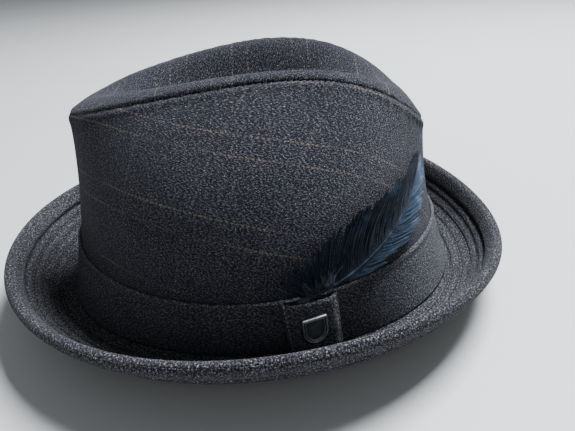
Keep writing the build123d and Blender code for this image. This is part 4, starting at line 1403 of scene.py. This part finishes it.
# %% [markdown]
# Inside the head opening a tape covers the seam of crown and brim, and a leather sweatband lies
# over it, joined at the back with zigzag stitches under a blank size tag. They are strips of
# the wall again, this time with their insets counted inwards.

# %% Headline tape and sweatband
tape_height = 0.009
tape_outer = 0.0023
tape_inner = 0.0028
sweat_outer = 0.0036
sweat_inner = 0.0048
sweat_edge = 0.0006
sweat_row_height = 0.0045
tape_up = steps(strip_foot, tape_height, 10)[None, :]
headline = wall_strip("headline_tape_cloth", band_turns, tape_up, tape_outer, tape_inner)
finish_piece(headline, "hat", tape, "headline_tape", "headline_tape")
round_off = steps(0, math.pi / 2, 6)
sweat_up = np.concatenate([[strip_foot], strip_foot + sweat_edge * (1 - np.cos(round_off[1:])),
                           steps(0.002, sweat_height - 0.002, 26),
                           sweat_height - sweat_edge * (1 - np.sin(round_off))])
nearest = np.minimum(sweat_up - strip_foot, sweat_height - sweat_up)
into_edge = 1 - np.clip(nearest / sweat_edge, 0, 1)
rounding = 0.5 * (sweat_inner - sweat_outer) * (1 - np.sqrt(1 - into_edge**2))
grooves = 0.00018 * hill(sweat_height - 0.003 - sweat_up, 0.0005)
grooves = grooves + 0.00025 * hill(sweat_up - sweat_row_height, 0.0007)
sweatband = wall_strip("sweatband_leather", band_turns, sweat_up[None, :], (sweat_outer + rounding)[None, :],
                       (sweat_inner - rounding - grooves)[None, :])
finish_piece(sweatband, "hat", leather, "sweat_leather", "sweatband")

# %% The sweatband's stitches and its blank size tag
back_turn = math.pi / 2
join_half_turn = 0.016
zigzag_turn = 0.010
tag_half_width = 0.009
tag_outer = 0.0050
tag_inner = 0.0053
sweat_rows = [(wall_at_height(band_turns, sweat_row_height, sweat_inner - 0.00005), True)]
join_up = steps(0.006, sweat_height - 0.004, 14)
for side in (-1, 1):
    zigzag = back_turn + side * join_half_turn + zigzag_turn * (np.arange(len(join_up)) % 2 - 0.5)
    sweat_rows.append((wall_at_height(zigzag, join_up, sweat_inner + 0.0001), False))
stitch("sweatband_stitches", sweat_rows, dark_thread, "sweat_leather", pitch=0.0030, length=0.0023,
       thread_width=0.00048, seed=52)
tag_turns = back_turn + steps(-tag_half_width, tag_half_width, 20) / crown_half_width
tag = wall_strip("size_tag", tag_turns, steps(0.010, 0.024, 14)[None, :], tag_outer, tag_inner, closed=False)
finish_piece(tag, "hat", label_cloth, "label_tape", "size_label")

# %% [markdown]
# The canvas behind the crown's cloth, the stiffener in the brim and the plate behind the shield
# are hidden on a whole hat. Their shapes in the frame are right already, so they stay as they
# are and only get a finish.

# %% Frame pieces that keep their own shape
for node, finish in (("side_canvas_left", canvas), ("side_canvas_right", canvas), ("tip_canvas", canvas),
                     ("brim_stiffener", canvas), ("badge_backing", gunmetal)):
    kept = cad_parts[node]
    kept.data.materials.clear()
    kept.data.materials.append(finish)
    print(node, "keeps its shape, in", finish.name)

# %% [markdown]
# The hat stands on a plain pale floor in soft window light that comes from behind and the
# right, high up, with a weak fill from the front. The light side of the tweed turns grey and
# speckled and the near side stays almost black, which is what shows the crown's shape. A lamp
# of a real window's size gives that soft edge of shadow; a Sun would cut it too sharp.

# %% Floor and light
bpy.ops.mesh.primitive_grid_add(x_subdivisions=8, y_subdivisions=8, size=14.0)
floor = bpy.context.active_object
floor.name = "floor"
floor_finish, tree, shader = new_finish("pale_floor", 0.55)
cloudy = grain(tree, own_place(tree), (3.0, 3.0, 3.0), 0.0, (0.0, 0.0, 0.0), 3.0)
floor_colour = blend_colours(tree, cloudy, (0.46, 0.46, 0.455, 1.0), (0.53, 0.53, 0.525, 1.0))
tree.links.new(floor_colour, shader.inputs["Base Color"])
floor.data.materials.append(floor_finish)


def soft_light(name, place, aim, size, power, colour):
    """An area light at a place, turned to its aim."""
    lamp = bpy.data.lights.new(name, "AREA")
    lamp.size, lamp.energy, lamp.color = size, power, colour
    light = bpy.data.objects.new(name, lamp)
    light.location = place
    light.rotation_euler = (Vector(aim) - Vector(place)).to_track_quat("-Z", "Y").to_euler()
    bpy.context.collection.objects.link(light)
    print(name, "light,", power, "W")


soft_light("window", (-0.50, 0.55, 1.35), (0.0, 0.0, 0.08), 0.6, 100.0, (0.90, 0.94, 1.0))
soft_light("fill", (1.3, 0.4, 0.8), (0.0, 0.0, 0.05), 1.4, 2.2, (0.95, 0.96, 1.0))
world = bpy.data.worlds.new("studio")
world.use_nodes = True
background = world.node_tree.nodes["Background"]
background.inputs["Color"].default_value = (0.78, 0.84, 0.88, 1.0)
background.inputs["Strength"].default_value = 0.34
bpy.context.scene.world = world

# %% [markdown]
# The camera stands by the wearer's left side, close to the hat and looking down on it, so that
# the brim's near edge swells a little. Its place is worked out from two angles and a distance,
# which says more than three coordinates would.

# %% Camera
camera_turn = math.radians(91.873)
camera_height = math.radians(29.444)
camera_roll = math.radians(-3.956)
camera_distance = 0.274214
camera_aim_right = 0.017986
camera_aim_up = 0.024763
camera_data = bpy.data.cameras.new("camera")
camera_data.lens = 29.89
camera_data.sensor_width = 36.0
camera_data.sensor_fit = "HORIZONTAL"
camera_data.clip_start = 0.01
camera = bpy.data.objects.new("camera", camera_data)
back_way = Vector((math.sin(camera_turn) * math.cos(camera_height),
                   -math.cos(camera_turn) * math.cos(camera_height), math.sin(camera_height)))
right_way = Vector((math.cos(camera_turn), math.sin(camera_turn), 0.0))
up_way = back_way.cross(right_way)
place = right_way * camera_aim_right + Vector((0, 0, camera_aim_up)) + back_way * camera_distance
rolled_right = right_way * math.cos(camera_roll) + up_way * math.sin(camera_roll)
rolled_up = up_way * math.cos(camera_roll) - right_way * math.sin(camera_roll)
axes = Matrix((rolled_right, rolled_up, back_way)).transposed().to_4x4()
camera.matrix_world = Matrix.Translation(place) @ axes
bpy.context.collection.objects.link(camera)
bpy.context.scene.camera = camera
print("camera at", [round(value, 3) for value in place])
